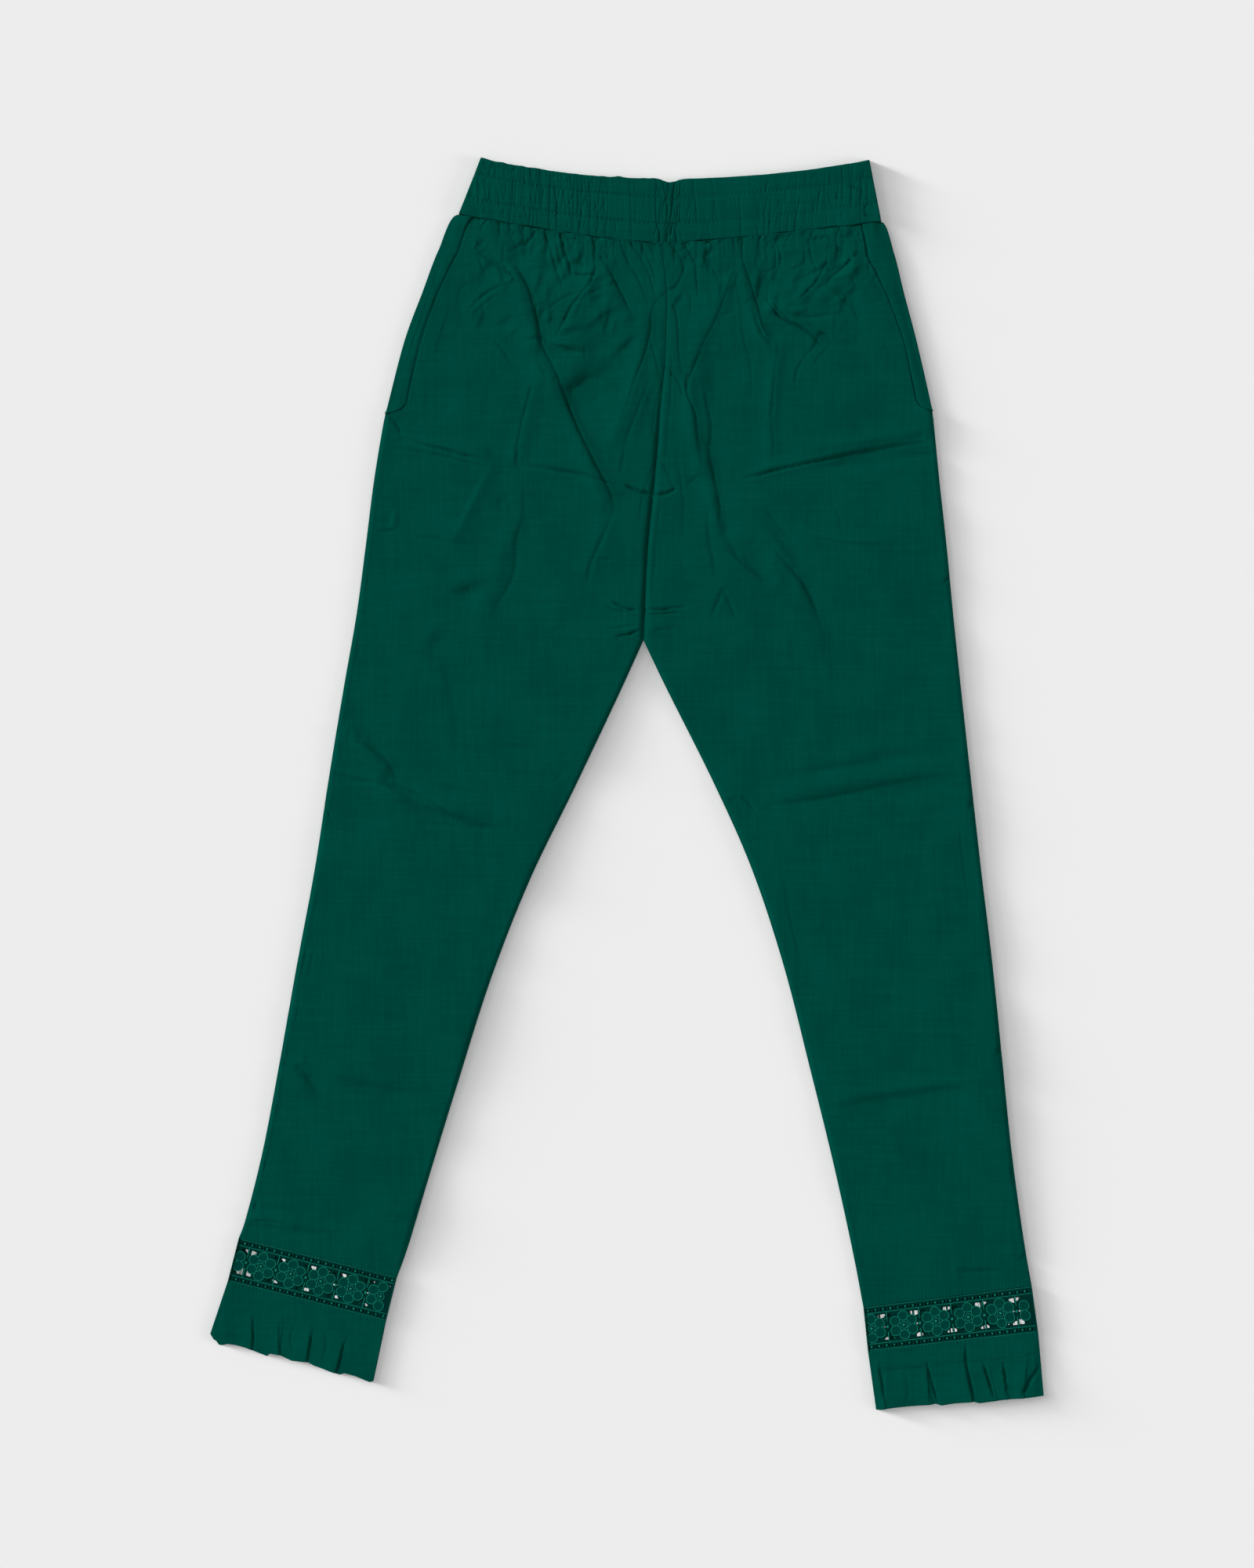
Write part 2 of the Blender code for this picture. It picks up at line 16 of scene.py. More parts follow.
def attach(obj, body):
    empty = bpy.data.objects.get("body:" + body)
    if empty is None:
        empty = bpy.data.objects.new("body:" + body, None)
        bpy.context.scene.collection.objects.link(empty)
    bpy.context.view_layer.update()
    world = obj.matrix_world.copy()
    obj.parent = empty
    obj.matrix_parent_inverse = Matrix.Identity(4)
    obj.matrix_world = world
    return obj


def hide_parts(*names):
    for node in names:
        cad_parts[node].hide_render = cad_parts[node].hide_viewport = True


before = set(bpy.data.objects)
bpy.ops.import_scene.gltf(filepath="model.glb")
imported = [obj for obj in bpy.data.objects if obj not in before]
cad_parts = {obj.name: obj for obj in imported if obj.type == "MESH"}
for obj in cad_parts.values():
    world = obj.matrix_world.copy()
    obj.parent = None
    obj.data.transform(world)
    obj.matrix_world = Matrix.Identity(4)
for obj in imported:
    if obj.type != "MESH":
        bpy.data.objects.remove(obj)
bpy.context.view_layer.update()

MM = 0.001

# Walls of the solids that the pieces stand for
CLOTH = 1.2
BAND_WALL = 2.4
GAP = 0.3
FRONT_BASE = CLOTH + GAP
BAND_FRONT_BASE = BAND_WALL + GAP

# Real cloth: its thickness, the radius of a turned edge, its angles and the columns it adds, the lowest point
# of the front's underside, and how many columns and rows of the face an underside takes in one
SHELL = 0.7
EDGE_RADIUS = 0.8
ROLL_ANGLES = (30, 60, 90)
ROLL = len(ROLL_ANGLES) + 1
FRONT_FOOT = 1.32
UNDER_STEP = 3

# Front panels: what lifts them off the back
PUFF = 1.5
SIDE_ROUNDING = 3.5
SEAM_DIP = 0.35
SEAM_DIP_LOW = 0.95
SEAM_DIP_WIDTH = 1.7
SEAM_CALM = 8.0
SEAM_OVERLAP = 0.05
SEAM_GROOVE = 1.4
SEAM_GROOVE_WIDTH = 1.3
FOLD_AT_SIDE = 0.25
LACE_CALM_ROWS = 1.2
WAIST_LIFT = 1.6
WAIST_LIFT_LENGTH = 14.0
LIFT_WIDTH = 28.0
LIFT_FADE = 14.0
LIFT_AT_MOUTH = 0.25
MOUTH_REACH = 14.0
MOUTH_LIFT = 1.35
MOUTH_FALL = 0.35
EDGE_CALM = 6.0
PUCKER = 0.16

# Outline of each leg panel: where each section meets the outer side and the centre seam or inseam
LegRow = namedtuple("LegRow", "name outer_x outer_y inner_x inner_y")
RIGHT_ROWS = [
    LegRow("waist seam", -133, 450, 24, 427),
    LegRow("high pocket", -149, 422, 31, 394),
    LegRow("pocket", -162, 388, 31, 361),
    LegRow("high hip", -176, 350, 30, 333),
    LegRow("hip", -189, 300, 27, 305),
    LegRow("pocket end", -192, 288, 26, 296),
    LegRow("low hip", -200, 240, 22, 246),
    LegRow("seat", -207, 185, 16, 186),
    LegRow("crotch", -214, 133, 13, 114),
    LegRow("upper thigh", -224, 76, -5, 74),
    LegRow("mid thigh", -236, 3, -41, -2),
    LegRow("above knee", -247, -68, -77, -76),
    LegRow("knee", -261, -143, -108, -155),
    LegRow("calf", -275, -222, -135, -240),
    LegRow("low calf", -288, -290, -158, -315),
    LegRow("flare", -301, -342, -173, -365),
    LegRow("lace seam", -307, -359, -182, -390),
]
LEFT_ROWS = [
    LegRow("waist seam", 201, 444, 24, 427),
    LegRow("high pocket", 211, 420, 31, 394),
    LegRow("pocket", 219, 388, 31, 361),
    LegRow("high hip", 229, 350, 30, 333),
    LegRow("hip", 240, 302, 27, 305),
    LegRow("pocket end", 242, 290, 26, 296),
    LegRow("low hip", 247, 240, 22, 246),
    LegRow("seat", 253, 185, 16, 186),
    LegRow("crotch", 258, 133, 13, 114),
    LegRow("upper thigh", 264, 76, 31, 76),
    LegRow("mid thigh", 272, 3, 69, 0),
    LegRow("above knee", 280, -68, 99, -68),
    LegRow("knee", 289, -143, 124, -144),
    LegRow("calf", 297, -222, 145, -226),
    LegRow("low calf", 304, -290, 163, -299),
    LegRow("flare", 313, -356, 178, -367),
    LegRow("lace seam", 320, -397, 187, -414),
]
ROW_OF = {row.name: index for index, row in enumerate(RIGHT_ROWS)}
CROTCH = ROW_OF["crotch"]
POCKET_END = ROW_OF["pocket end"]
LACE_SEAM = ROW_OF["lace seam"]

# Knife pleats of a frill: place along its top and its hem from the outer side, height and soft side's width
Pleat = namedtuple("Pleat", "top hem height soft")
RIGHT_PLEATS = [
    Pleat(0.18, 0.25, 1.9, 10.0),
    Pleat(0.36, 0.42, 2.1, 10.0),
    Pleat(0.57, 0.59, 2.3, 9.0),
    Pleat(0.80, 0.77, 2.4, 9.0),
]
LEFT_PLEATS = [
    Pleat(0.05, 0.12, 1.8, 6.0),
    Pleat(0.23, 0.21, 2.2, 7.0),
    Pleat(0.33, 0.28, 2.4, 6.0),
    Pleat(0.43, 0.43, 2.6, 10.0),
    Pleat(0.66, 0.67, 2.1, 9.0),
    Pleat(0.96, 0.95, 1.6, 8.0),
]
# Uneven hems of the frills: share along the hem and millimetres below its straight line
RIGHT_HEM = [
    (0.0, 0.0), (0.03, 3.6), (0.045, 3.9), (0.066, 6.4), (0.085, 6.0), (0.11, 4.0), (0.162, 2.9), (0.22, 2.7),
    (0.30, 3.9), (0.354, 4.5), (0.366, 1.9), (0.43, 1.1), (0.503, 2.7), (0.56, 1.2), (0.60, 0.3), (0.64, 1.6),
    (0.69, 1.9), (0.75, 2.6), (0.80, 2.8), (0.824, 0.7), (0.89, 0.5), (0.94, 1.4), (0.98, 2.0), (1.0, 0.4),
]
LEFT_HEM = [
    (0.0, 0.0), (0.1, 0.6), (0.24, 0.3), (0.36, 1.3), (0.385, 1.5), (0.417, 0.0), (0.533, 0.0), (0.61, 0.8),
    (0.645, -1.0), (0.68, -0.6), (0.81, -0.7), (0.9, -0.4), (0.97, 0.3), (1.0, 0.0),
]
# Small slanted nicks in the outer edges, as places counted in rows and the reach inward
RIGHT_NICKS = [
    (9.4, 5), (10.3, 6), (11.3, 7), (11.9, 6), (12.4, 8), (12.9, 5), (13.4, 8), (14.1, 6), (14.7, 7),
]
LEFT_NICKS = [(7.4, 6), (10.2, 5), (11.4, 6), (12.8, 6), (14.2, 5), (15.3, 7)]
# One leg: the way from the body's centre to it along X, its rows, the pocket mouth's distance from the side
# and its slack, its nicks, the corners of lace and hem, the flowers' pitch and first gap, how the back half's
# pattern is shifted and stretched, its pleats and hem, the frill's puff and tuck, and a panel's cut in square
# metres
Leg = namedtuple(
    "Leg",
    "side number way rows strip slack nicks lace_outer lace_inner hem_outer hem_inner "
    "pitch first_gap back_shift back_stretch pleats hem_edge frill_puff tuck area",
)
RIGHT_LEG = Leg(
    side="right", number=0, way=-1, rows=RIGHT_ROWS, strip=14.5, slack=(0.0, 1.5, -2.8, -1.8, 0.6, 0.0),
    nicks=RIGHT_NICKS, lace_outer=(-315.5, -392.5), lace_inner=(-190.5, -424),
    hem_outer=(-329.5, -434.5), hem_inner=(-200.5, -471.5), pitch=24.4, first_gap=10.5, back_shift=5.0,
    back_stretch=1.03, pleats=RIGHT_PLEATS, hem_edge=RIGHT_HEM, frill_puff=0.3, tuck=0.16, area=0.158,
)
LEFT_LEG = Leg(
    side="left", number=1, way=1, rows=LEFT_ROWS, strip=12.5, slack=(4.0, 9.0, 1.5, -2.0, -1.0, 0.0),
    nicks=LEFT_NICKS, lace_outer=(325, -433), lace_inner=(190.5, -448),
    hem_outer=(329.5, -483.5), hem_inner=(197, -494.5), pitch=25.8, first_gap=14.5, back_shift=0.1,
    back_stretch=1.054, pleats=LEFT_PLEATS, hem_edge=LEFT_HEM, frill_puff=1.1, tuck=0.4, area=0.157,
)

# Waistband: each long edge as its right end, its dip, its left end, and the power of its rise from the dip
Edge = namedtuple("Edge", "right dip left power")
BAND_BOTTOM = Edge((-133, 450), (24, 427), (201, 444), 1.3)
BAND_TOP = Edge((-115.5, 494.5), (34, 478.5), (191.5, 493), 2.1)

# Folds pressed into the front of the solids, as lines with a sideways bend in the middle
Fold = namedtuple("Fold", "x0 y0 x1 y1 bend height width")
FOLDS = [
    Fold(-93, 408, -73, 342, 2, 2.6, 7),
    Fold(-74, 338, -17, 222, 3, 3.2, 8),
    Fold(-15, 210, -34, 165, 3, 1.2, 9),
    Fold(-29, 408, -54, 352, 6, 1.8, 6),
    Fold(-20, 410, 2, 366, -2, 1.8, 6),
    Fold(-8, 358, -38, 308, -6, -1.4, 9),
    Fold(14, 372, -14, 268, 6, 1.7, 6),
    Fold(-72, 326, -92, 252, 4, 1.6, 7),
    Fold(-96, 396, -128, 372, 2, 1.6, 7),
    Fold(-176, 268, -112, 259, 2, 1.4, 6),
    Fold(-80, 252, -8, 234, 0, 1.1, 7),
    Fold(-84, 214, -112, 128, -6, 1.2, 9),
    Fold(-106, 256, -140, 190, 0, 1.1, 8),
    Fold(-224, 44, -190, 8, 5, 1.8, 9),
    Fold(-186, 0, -116, -31, -4, 1.5, 11),
    Fold(-262, -218, -190, -242, 3, 1.1, 9),
    Fold(84, 400, 52, 330, -4, 1.3, 7),
    Fold(50, 322, 58, 246, -3, 2.6, 6),
    Fold(62, 262, 74, 202, -2, 2.0, 6),
    Fold(92, 414, 116, 344, -5, 1.3, 6),
    Fold(112, 378, 150, 352, 2, 2.6, 6),
    Fold(184, 414, 150, 382, 2, 2.2, 6),
    Fold(158, 406, 134, 382, 0, 1.8, 6),
    Fold(122, 352, 113, 258, -3, 1.4, 6),
    Fold(100, 246, 236, 270, 2, 3.0, 5),
    Fold(120, 258, 226, 280, 2, -1.0, 6),
    Fold(80, 196, 122, 158, 8, 1.3, 9),
    Fold(112, 180, 154, 112, -8, 1.5, 9),
    Fold(128, 192, 238, 186, 2, 0.9, 7),
    Fold(116, -12, 262, 12, 3, 1.1, 8),
    Fold(100, -22, 250, -2, 3, -0.8, 7),
    Fold(164, -250, 276, -236, 2, 1.1, 8),
    Fold(258, -382, 300, -380, 0, 1.0, 5),
    Fold(-296, -342, -262, -350, 0, 1.0, 6),
    Fold(-10, 139, 42, 137, 0, 0.9, 4),
    Fold(-12, 122, 24, 124, 0, 0.8, 4),
]
# Share of a fold over which each end fades, and how much of the solids' folds shows
FOLD_FADE = 0.2
FOLD_SHARE = 0.85

# Creases placed one by one: the depth and half width of their line, the step from the cloth on their lit side
# down to the other, how sharply they start, from 0 for softly to 1 where they come out of a seam, their
# points, and whether the step falls the other way
Crease = namedtuple("Crease", "depth width step start points other", defaults=(False,))
CREASES = [
    # Right side of the belly, below the waist seam
    Crease(1.7, 1.5, 0.6, 0.8, [(-131, 430), (-122, 427), (-114, 426), (-126, 421)]),
    Crease(1.1, 1.3, 0.5, 0.4, [(-116, 419), (-109, 413), (-99, 407), (-89, 400)]),
    Crease(0.5, 1.2, 0.3, 0.4, [(-118, 419), (-115, 409), (-111, 403)]),
    Crease(1.4, 1.5, 0.7, 0.2, [(-101, 410), (-94, 404), (-87, 398)]),
    Crease(0.9, 1.2, 0.7, 0.3, [(-92, 413), (-84, 403), (-76, 384), (-69, 352), (-69, 343)]),
    Crease(0.7, 1.1, 0.4, 0.0, [(-82, 402), (-73, 382), (-72, 370), (-67, 352)]),
    Crease(
        1.2, 1.3, 1.4, 0.6,
        [(-69, 349), (-58, 328), (-48, 302), (-38, 278), (-26, 254), (-13, 228), (-10, 213)],
    ),
    Crease(0.5, 1.0, 0.0, 0.0, [(-70, 332), (-67, 327), (-63, 322)]),
    Crease(0.7, 2.2, 0.7, 0.3, [(-11, 216), (-20, 195), (-29, 174), (-32, 156)]),
    Crease(0.8, 1.7, 0.7, 0.2, [(-94, 395), (-104, 392), (-116, 384), (-128, 371)]),
    Crease(0.4, 1.5, 0.4, 0.0, [(-100, 389), (-112, 380), (-122, 370)]),
    Crease(0.5, 1.1, 0.2, 0.0, [(-107, 351), (-98, 342), (-90, 330)]),
    Crease(1.2, 1.5, 0.6, 0.8, [(-73, 436), (-78, 429), (-88, 424), (-95, 420)]),
    Crease(0.4, 1.3, 0.3, 0.6, [(-98, 426), (-98, 410)]),
    Crease(0.9, 1.2, 0.5, 1.0, [(-65, 434), (-60, 420), (-56, 406), (-50, 391)]),
    Crease(1.2, 1.5, 0.8, 1.0, [(-53, 434), (-50, 422), (-46, 410), (-43, 396)]),
    Crease(0.6, 1.1, 0.3, 0.5, [(-57, 432), (-53, 414), (-47, 399)]),
    Crease(1.1, 1.6, 0.4, 0.3, [(-46, 412), (-38, 412), (-30, 407)]),
    Crease(1.0, 1.5, 0.4, 0.2, [(-45, 404), (-32, 402), (-22, 404)]),
    Crease(0.6, 1.3, 0.3, 0.2, [(-26, 418), (-20, 415), (-17, 411)]),
    Crease(1.0, 1.2, 0.8, 0.7, [(-25, 407), (-31, 394), (-43, 379), (-52, 362), (-60, 349)]),
    Crease(0.4, 1.2, 0.4, 1.0, [(-27, 434), (-26, 420), (-26, 404)]),
    Crease(0.5, 1.1, 0.3, 0.2, [(-33, 391), (-50, 384), (-68, 372)]),
    Crease(0.9, 1.2, 0.6, 0.5, [(-21, 416), (-14, 405), (-5, 388), (6, 367)]),
    Crease(0.6, 1.1, 0.4, 0.8, [(-6, 430), (0, 414), (10, 396), (18, 375)]),
    Crease(0.6, 1.1, 0.3, 0.8, [(2, 428), (13, 412), (20, 394), (22, 379)]),
    Crease(0.5, 1.0, 0.3, 0.8, [(10, 428), (19, 410), (23, 392)]),
    Crease(
        0.65, 1.1, 0.5, 0.5,
        [(30, 388), (23, 381), (19, 371), (18, 358), (13, 338), (6, 320), (-2, 295), (-12, 268)],
    ),
    Crease(0.6, 1.1, 0.3, 0.0, [(17, 354), (23, 334), (27, 318)]),
    Crease(0.5, 1.5, 0.5, 0.0, [(20, 328), (10, 300), (0, 274), (-5, 250)]),
    Crease(0.6, 1.4, 0.6, 0.0, [(-71, 325), (-77, 310), (-82, 290), (-87, 268), (-89, 248)]),
    Crease(0.7, 2.2, 0.3, 0.5, [(-64, 350), (-56, 346), (-46, 344), (-35, 340)]),
    Crease(0.5, 1.6, 0.2, 0.0, [(-34, 347), (-33, 334)]),
    Crease(0.9, 6.0, 0.0, 0.4, [(-55, 322), (-44, 314), (-34, 314), (-22, 324), (-9, 340)]),
    Crease(0.4, 2.8, 0.2, 0.0, [(-36, 355), (-28, 363), (-18, 371), (-4, 378)]),
    Crease(0.4, 2.8, 0.2, 0.0, [(-11, 339), (-2, 346), (7, 355)]),
    Crease(0.6, 1.8, 0.5, 0.3, [(-86, 267), (-88, 250)]),
    Crease(0.4, 2.4, 0.6, 0.0, [(-81, 244), (-83, 212), (-88, 192), (-90, 166), (-101, 145), (-112, 124)]),
    Crease(0.0, 2.2, 0.2, 0.0, [(-106, 256), (-122, 220), (-140, 187)]),
    Crease(1.2, 1.3, 0.3, 0.3, [(-178, 272), (-151, 265), (-127, 259), (-107, 254)], True),
    Crease(0.5, 1.5, 0.4, 0.0, [(-176, 265), (-146, 259), (-108, 250)]),
    Crease(1.0, 1.4, 0.3, 0.2, [(-84, 252), (-61, 249), (-38, 245), (-15, 238), (-3, 235)]),
    Crease(0.5, 2.2, 0.4, 0.0, [(-2, 262), (-6, 243)]),
    Crease(1.9, 1.2, 0.3, 0.9, [(20, 229), (8, 232), (-2, 237)]),
    Crease(1.0, 1.5, 0.8, 0.9, [(-193, 292), (-184, 286), (-178, 275)]),
    Crease(0.7, 1.4, 0.5, 0.4, [(-198, 199), (-180, 202)]),
    Crease(0.3, 2.4, 0.7, 0.2, [(-182, 200), (-142, 192), (-98, 189)]),
    Crease(0.2, 4.5, 0.3, 0.2, [(-138, 157), (-128, 160), (-118, 156)]),
    Crease(0.2, 4.0, 0.2, 0.2, [(-154, 122), (-148, 112)]),
    Crease(0.6, 5.0, 0.2, 0.2, [(-104, 222), (-92, 228)]),
    # Crotch
    Crease(1.3, 1.3, 0.4, 0.0, [(-12, 145), (-1, 139), (11, 137)]),
    Crease(0.6, 1.2, 0.3, 0.0, [(-18, 141), (-8, 137), (0, 136)]),
    Crease(1.2, 1.2, 0.5, 0.0, [(-11, 116), (3, 119), (12, 123)]),
    Crease(0.7, 1.2, 0.3, 0.0, [(-16, 123), (-4, 124), (9, 126)]),
    Crease(0.4, 1.3, 0.3, 0.0, [(-24, 178), (-12, 178)]),
    Crease(1.35, 1.3, 0.5, 0.9, [(15, 138), (27, 138), (50, 141)]),
    Crease(0.9, 1.2, 0.4, 0.7, [(15, 134), (28, 135), (44, 136)]),
    Crease(0.4, 1.3, 0.3, 0.3, [(20, 122), (40, 123)]),
    # Centre seam: it is sewn tight, with its allowance showing beside it
    Crease(0.5, 1.0, 0.2, 0.0, [(34, 352), (35, 318), (32, 276), (30, 240)]),
    Crease(0.5, 1.0, 0.2, 0.0, [(29, 240), (24, 206), (21, 168), (19, 138)]),
    Crease(0.6, 1.3, 0.3, 0.8, [(29, 330), (40, 318), (46, 300)]),
    Crease(0.5, 1.2, 0.3, 0.8, [(24, 258), (33, 244), (37, 226)]),
    Crease(0.5, 1.2, 0.3, 0.8, [(28, 318), (22, 296), (20, 270)]),
    Crease(0.5, 1.2, 0.3, 0.8, [(20, 250), (12, 226), (10, 204)]),
    Crease(1.9, 1.2, 0.3, 0.9, [(21, 228), (34, 231), (38, 235)]),
    Crease(0.5, 1.2, 0.4, 0.0, [(46, 236), (59, 245)]),
    # Left side of the belly
    Crease(0.9, 1.2, 0.4, 0.8, [(34, 427), (43, 413), (44, 404), (39, 394), (33, 390), (24, 383)]),
    Crease(0.7, 1.1, 0.4, 0.8, [(44, 426), (53, 413), (55, 397), (56, 381)]),
    Crease(0.4, 1.1, 0.3, 0.0, [(45, 394), (50, 382), (49, 366)]),
    Crease(0.5, 1.1, 0.3, 0.7, [(64, 420), (69, 404), (73, 397)]),
    Crease(0.35, 1.1, 0.5, 0.2, [(91, 417), (82, 399), (71, 370), (60, 348), (49, 322), (47, 308)]),
    Crease(0.5, 1.0, 0.3, 0.0, [(60, 344), (53, 330), (48, 318), (47, 308)]),
    Crease(0.7, 1.1, 0.5, 0.6, [(29, 386), (36, 379), (39, 369), (40, 356), (41, 338), (47, 308)]),
    Crease(1.0, 1.3, 1.0, 0.9, [(47, 322), (47, 309), (53, 293), (56, 271), (59, 248)]),
    Crease(0.6, 2.2, 0.8, 0.0, [(58, 330), (62, 305), (66, 283), (65, 262), (68, 236)]),
    Crease(0.7, 1.4, 0.9, 0.4, [(63, 268), (68, 244), (73, 218), (72, 203)]),
    Crease(0.5, 1.1, 0.2, 0.0, [(38, 262), (43, 238), (45, 215), (44, 192)]),
    Crease(0.4, 2.4, 0.6, 0.0, [(62, 224), (65, 189), (71, 160)]),
    Crease(0.65, 1.2, 0.6, 1.0, [(91, 431), (91, 416), (98, 394), (103, 377), (109, 358), (118, 342)]),
    Crease(0.8, 2.0, 0.5, 0.0, [(98, 378), (106, 356), (115, 344)]),
    Crease(
        1.5, 1.25, 0.7, 0.5,
        [(109, 385), (115, 375), (123, 367), (133, 362), (142, 357), (149, 351), (153, 347)],
    ),
    Crease(0.7, 1.0, 0.3, 0.3, [(110, 386), (116, 379), (124, 371), (131, 365)]),
    Crease(0.8, 1.1, 0.3, 0.5, [(149, 350), (153, 356), (157, 355), (164, 350)]),
    Crease(0.6, 1.1, 0.3, 0.3, [(152, 354), (147, 345), (139, 336)]),
    Crease(0.5, 1.1, 0.3, 0.2, [(162, 349), (153, 339), (143, 326)]),
    Crease(0.6, 1.2, 0.4, 0.1, [(141, 338), (134, 326), (132, 313)]),
    Crease(0.8, 1.1, 0.4, 1.0, [(120, 424), (121, 413), (118, 403), (114, 395)]),
    Crease(0.8, 1.1, 0.4, 0.5, [(112, 405), (106, 392), (102, 382)]),
    Crease(0.7, 1.0, 0.3, 0.5, [(139, 426), (140, 413), (134, 408), (125, 408)]),
    Crease(0.6, 1.2, 0.4, 0.8, [(143, 430), (146, 415), (151, 402)]),
    Crease(0.7, 1.3, 0.4, 0.8, [(158, 424), (167, 423), (175, 417), (180, 418)]),
    Crease(1.1, 1.4, 0.8, 0.9, [(182, 420), (168, 406), (156, 396)]),
    Crease(0.9, 1.4, 0.7, 0.7, [(157, 412), (149, 397), (133, 380)]),
    Crease(0.5, 1.2, 0.3, 0.2, [(162, 398), (150, 391)]),
    Crease(0.6, 1.3, 0.4, 0.2, [(158, 392), (168, 385), (179, 374), (184, 364)]),
    Crease(0.5, 1.3, 0.4, 0.0, [(166, 390), (176, 382), (183, 372)]),
    Crease(0.7, 1.7, 0.2, 0.0, [(125, 374), (143, 369), (166, 372)]),
    Crease(0.5, 1.3, 0.6, 0.5, [(119, 347), (116, 320), (114, 295), (115, 271), (117, 248)]),
    Crease(0.3, 1.5, 0.3, 0.0, [(91, 382), (90, 360), (96, 338), (98, 314), (97, 290)]),
    # Packing crease across the left hip: a narrow ridge between two lines, with a hollow above it
    Crease(
        1.5, 1.3, 0.5, 0.7,
        [(232, 269), (192, 262.5), (157, 256), (117, 247), (99, 242), (79, 238)], True,
    ),
    Crease(1.0, 4.0, 0.0, 0.5, [(232, 276), (192, 270), (150, 262), (112, 252)]),
    Crease(1.6, 1.4, 0.6, 0.9, [(244, 261), (227, 260), (192, 255), (155, 250)]),
    Crease(0.5, 2.4, 0.9, 0.0, [(76, 200), (88, 177), (108, 163), (121, 158)]),
    Crease(0.6, 2.4, 0.9, 0.0, [(108, 193), (128, 171), (143, 151), (157, 112)]),
    Crease(0.4, 2.2, 0.7, 0.0, [(106, 220), (120, 203), (138, 182)]),
    Crease(0.4, 1.8, 0.5, 0.2, [(125, 196), (152, 194), (175, 190), (215, 189), (245, 191)]),
    Crease(0.0, 2.2, 0.5, 0.0, [(226, 250), (233, 229), (237, 200)]),
    Crease(0.2, 1.8, 0.3, 0.0, [(157, 229), (166, 214), (170, 196)]),
    Crease(0.8, 2.2, 0.4, 0.3, [(75, 154), (72, 146), (66, 132)]),
    Crease(0.6, 2.0, 0.4, 0.3, [(75, 154), (80, 144), (87, 128)]),
    # Right leg, from the knee down
    Crease(0.7, 2.2, 1.3, 0.6, [(-232, 8), (-203, 2), (-180, -3), (-154, -14), (-126, -32), (-70, -34)]),
    Crease(0.7, 2.4, 1.2, 0.5, [(-228, 48), (-219, 36), (-191, 19), (-180, -8)]),
    Crease(0.4, 2.2, 0.6, 0.0, [(-156, 1), (-118, -8)]),
    Crease(0.5, 2.0, 0.5, 0.0, [(-58, 6), (-45, -6)]),
    Crease(0.3, 3.2, 0.5, 0.0, [(-147, 96), (-139, 66), (-132, 34)]),
    Crease(0.5, 1.8, 0.4, 0.8, [(-256, -133), (-248, -149)]),
    Crease(0.6, 2.0, 1.1, 0.8, [(-274, -220), (-258, -227), (-243, -246)]),
    Crease(0.4, 2.2, 0.8, 0.0, [(-228, -231), (-188, -241), (-158, -244)]),
    Crease(0.4, 1.8, 0.4, 0.7, [(-278, -261), (-266, -268)]),
    Crease(0.4, 1.7, 0.4, 0.7, [(-295, -321), (-276, -325)]),
    Crease(0.6, 1.8, 0.8, 0.6, [(-300, -345), (-281, -345), (-262, -350)]),
    Crease(0.4, 1.6, 0.4, 0.0, [(-252, -345), (-233, -345)]),
    Crease(0.4, 1.6, 0.4, 0.0, [(-184, -345), (-170, -345)]),
    Crease(0.25, 1.2, 0.2, 0.0, [(-157, -305), (-181, -379)]),
    # Left leg, from the knee down
    Crease(0.5, 1.8, 0.8, 0.2, [(111, -17), (138, -13), (167, -9), (216, 2), (267, 9)]),
    Crease(0.3, 5.0, 0.0, 0.0, [(96, 2), (152, 11), (236, 25)]),
    Crease(0.5, 2.0, 0.5, 0.0, [(77, -16), (89, -9)]),
    Crease(0.5, 2.0, 0.5, 0.0, [(89, -9), (102, -22)]),
    Crease(0.3, 1.3, 0.3, 0.0, [(261, -24), (269, -92)]),
    Crease(0.3, 1.3, 0.3, 0.0, [(119, -46), (129, -108), (139, -145)]),
    Crease(0.3, 2.2, 0.6, 0.0, [(212, -80), (269, -78)]),
    Crease(0.5, 1.8, 0.7, 0.1, [(160, -255), (210, -246), (278, -237)]),
    Crease(0.8, 1.7, 0.9, 0.1, [(258, -384), (298, -384)]),
]
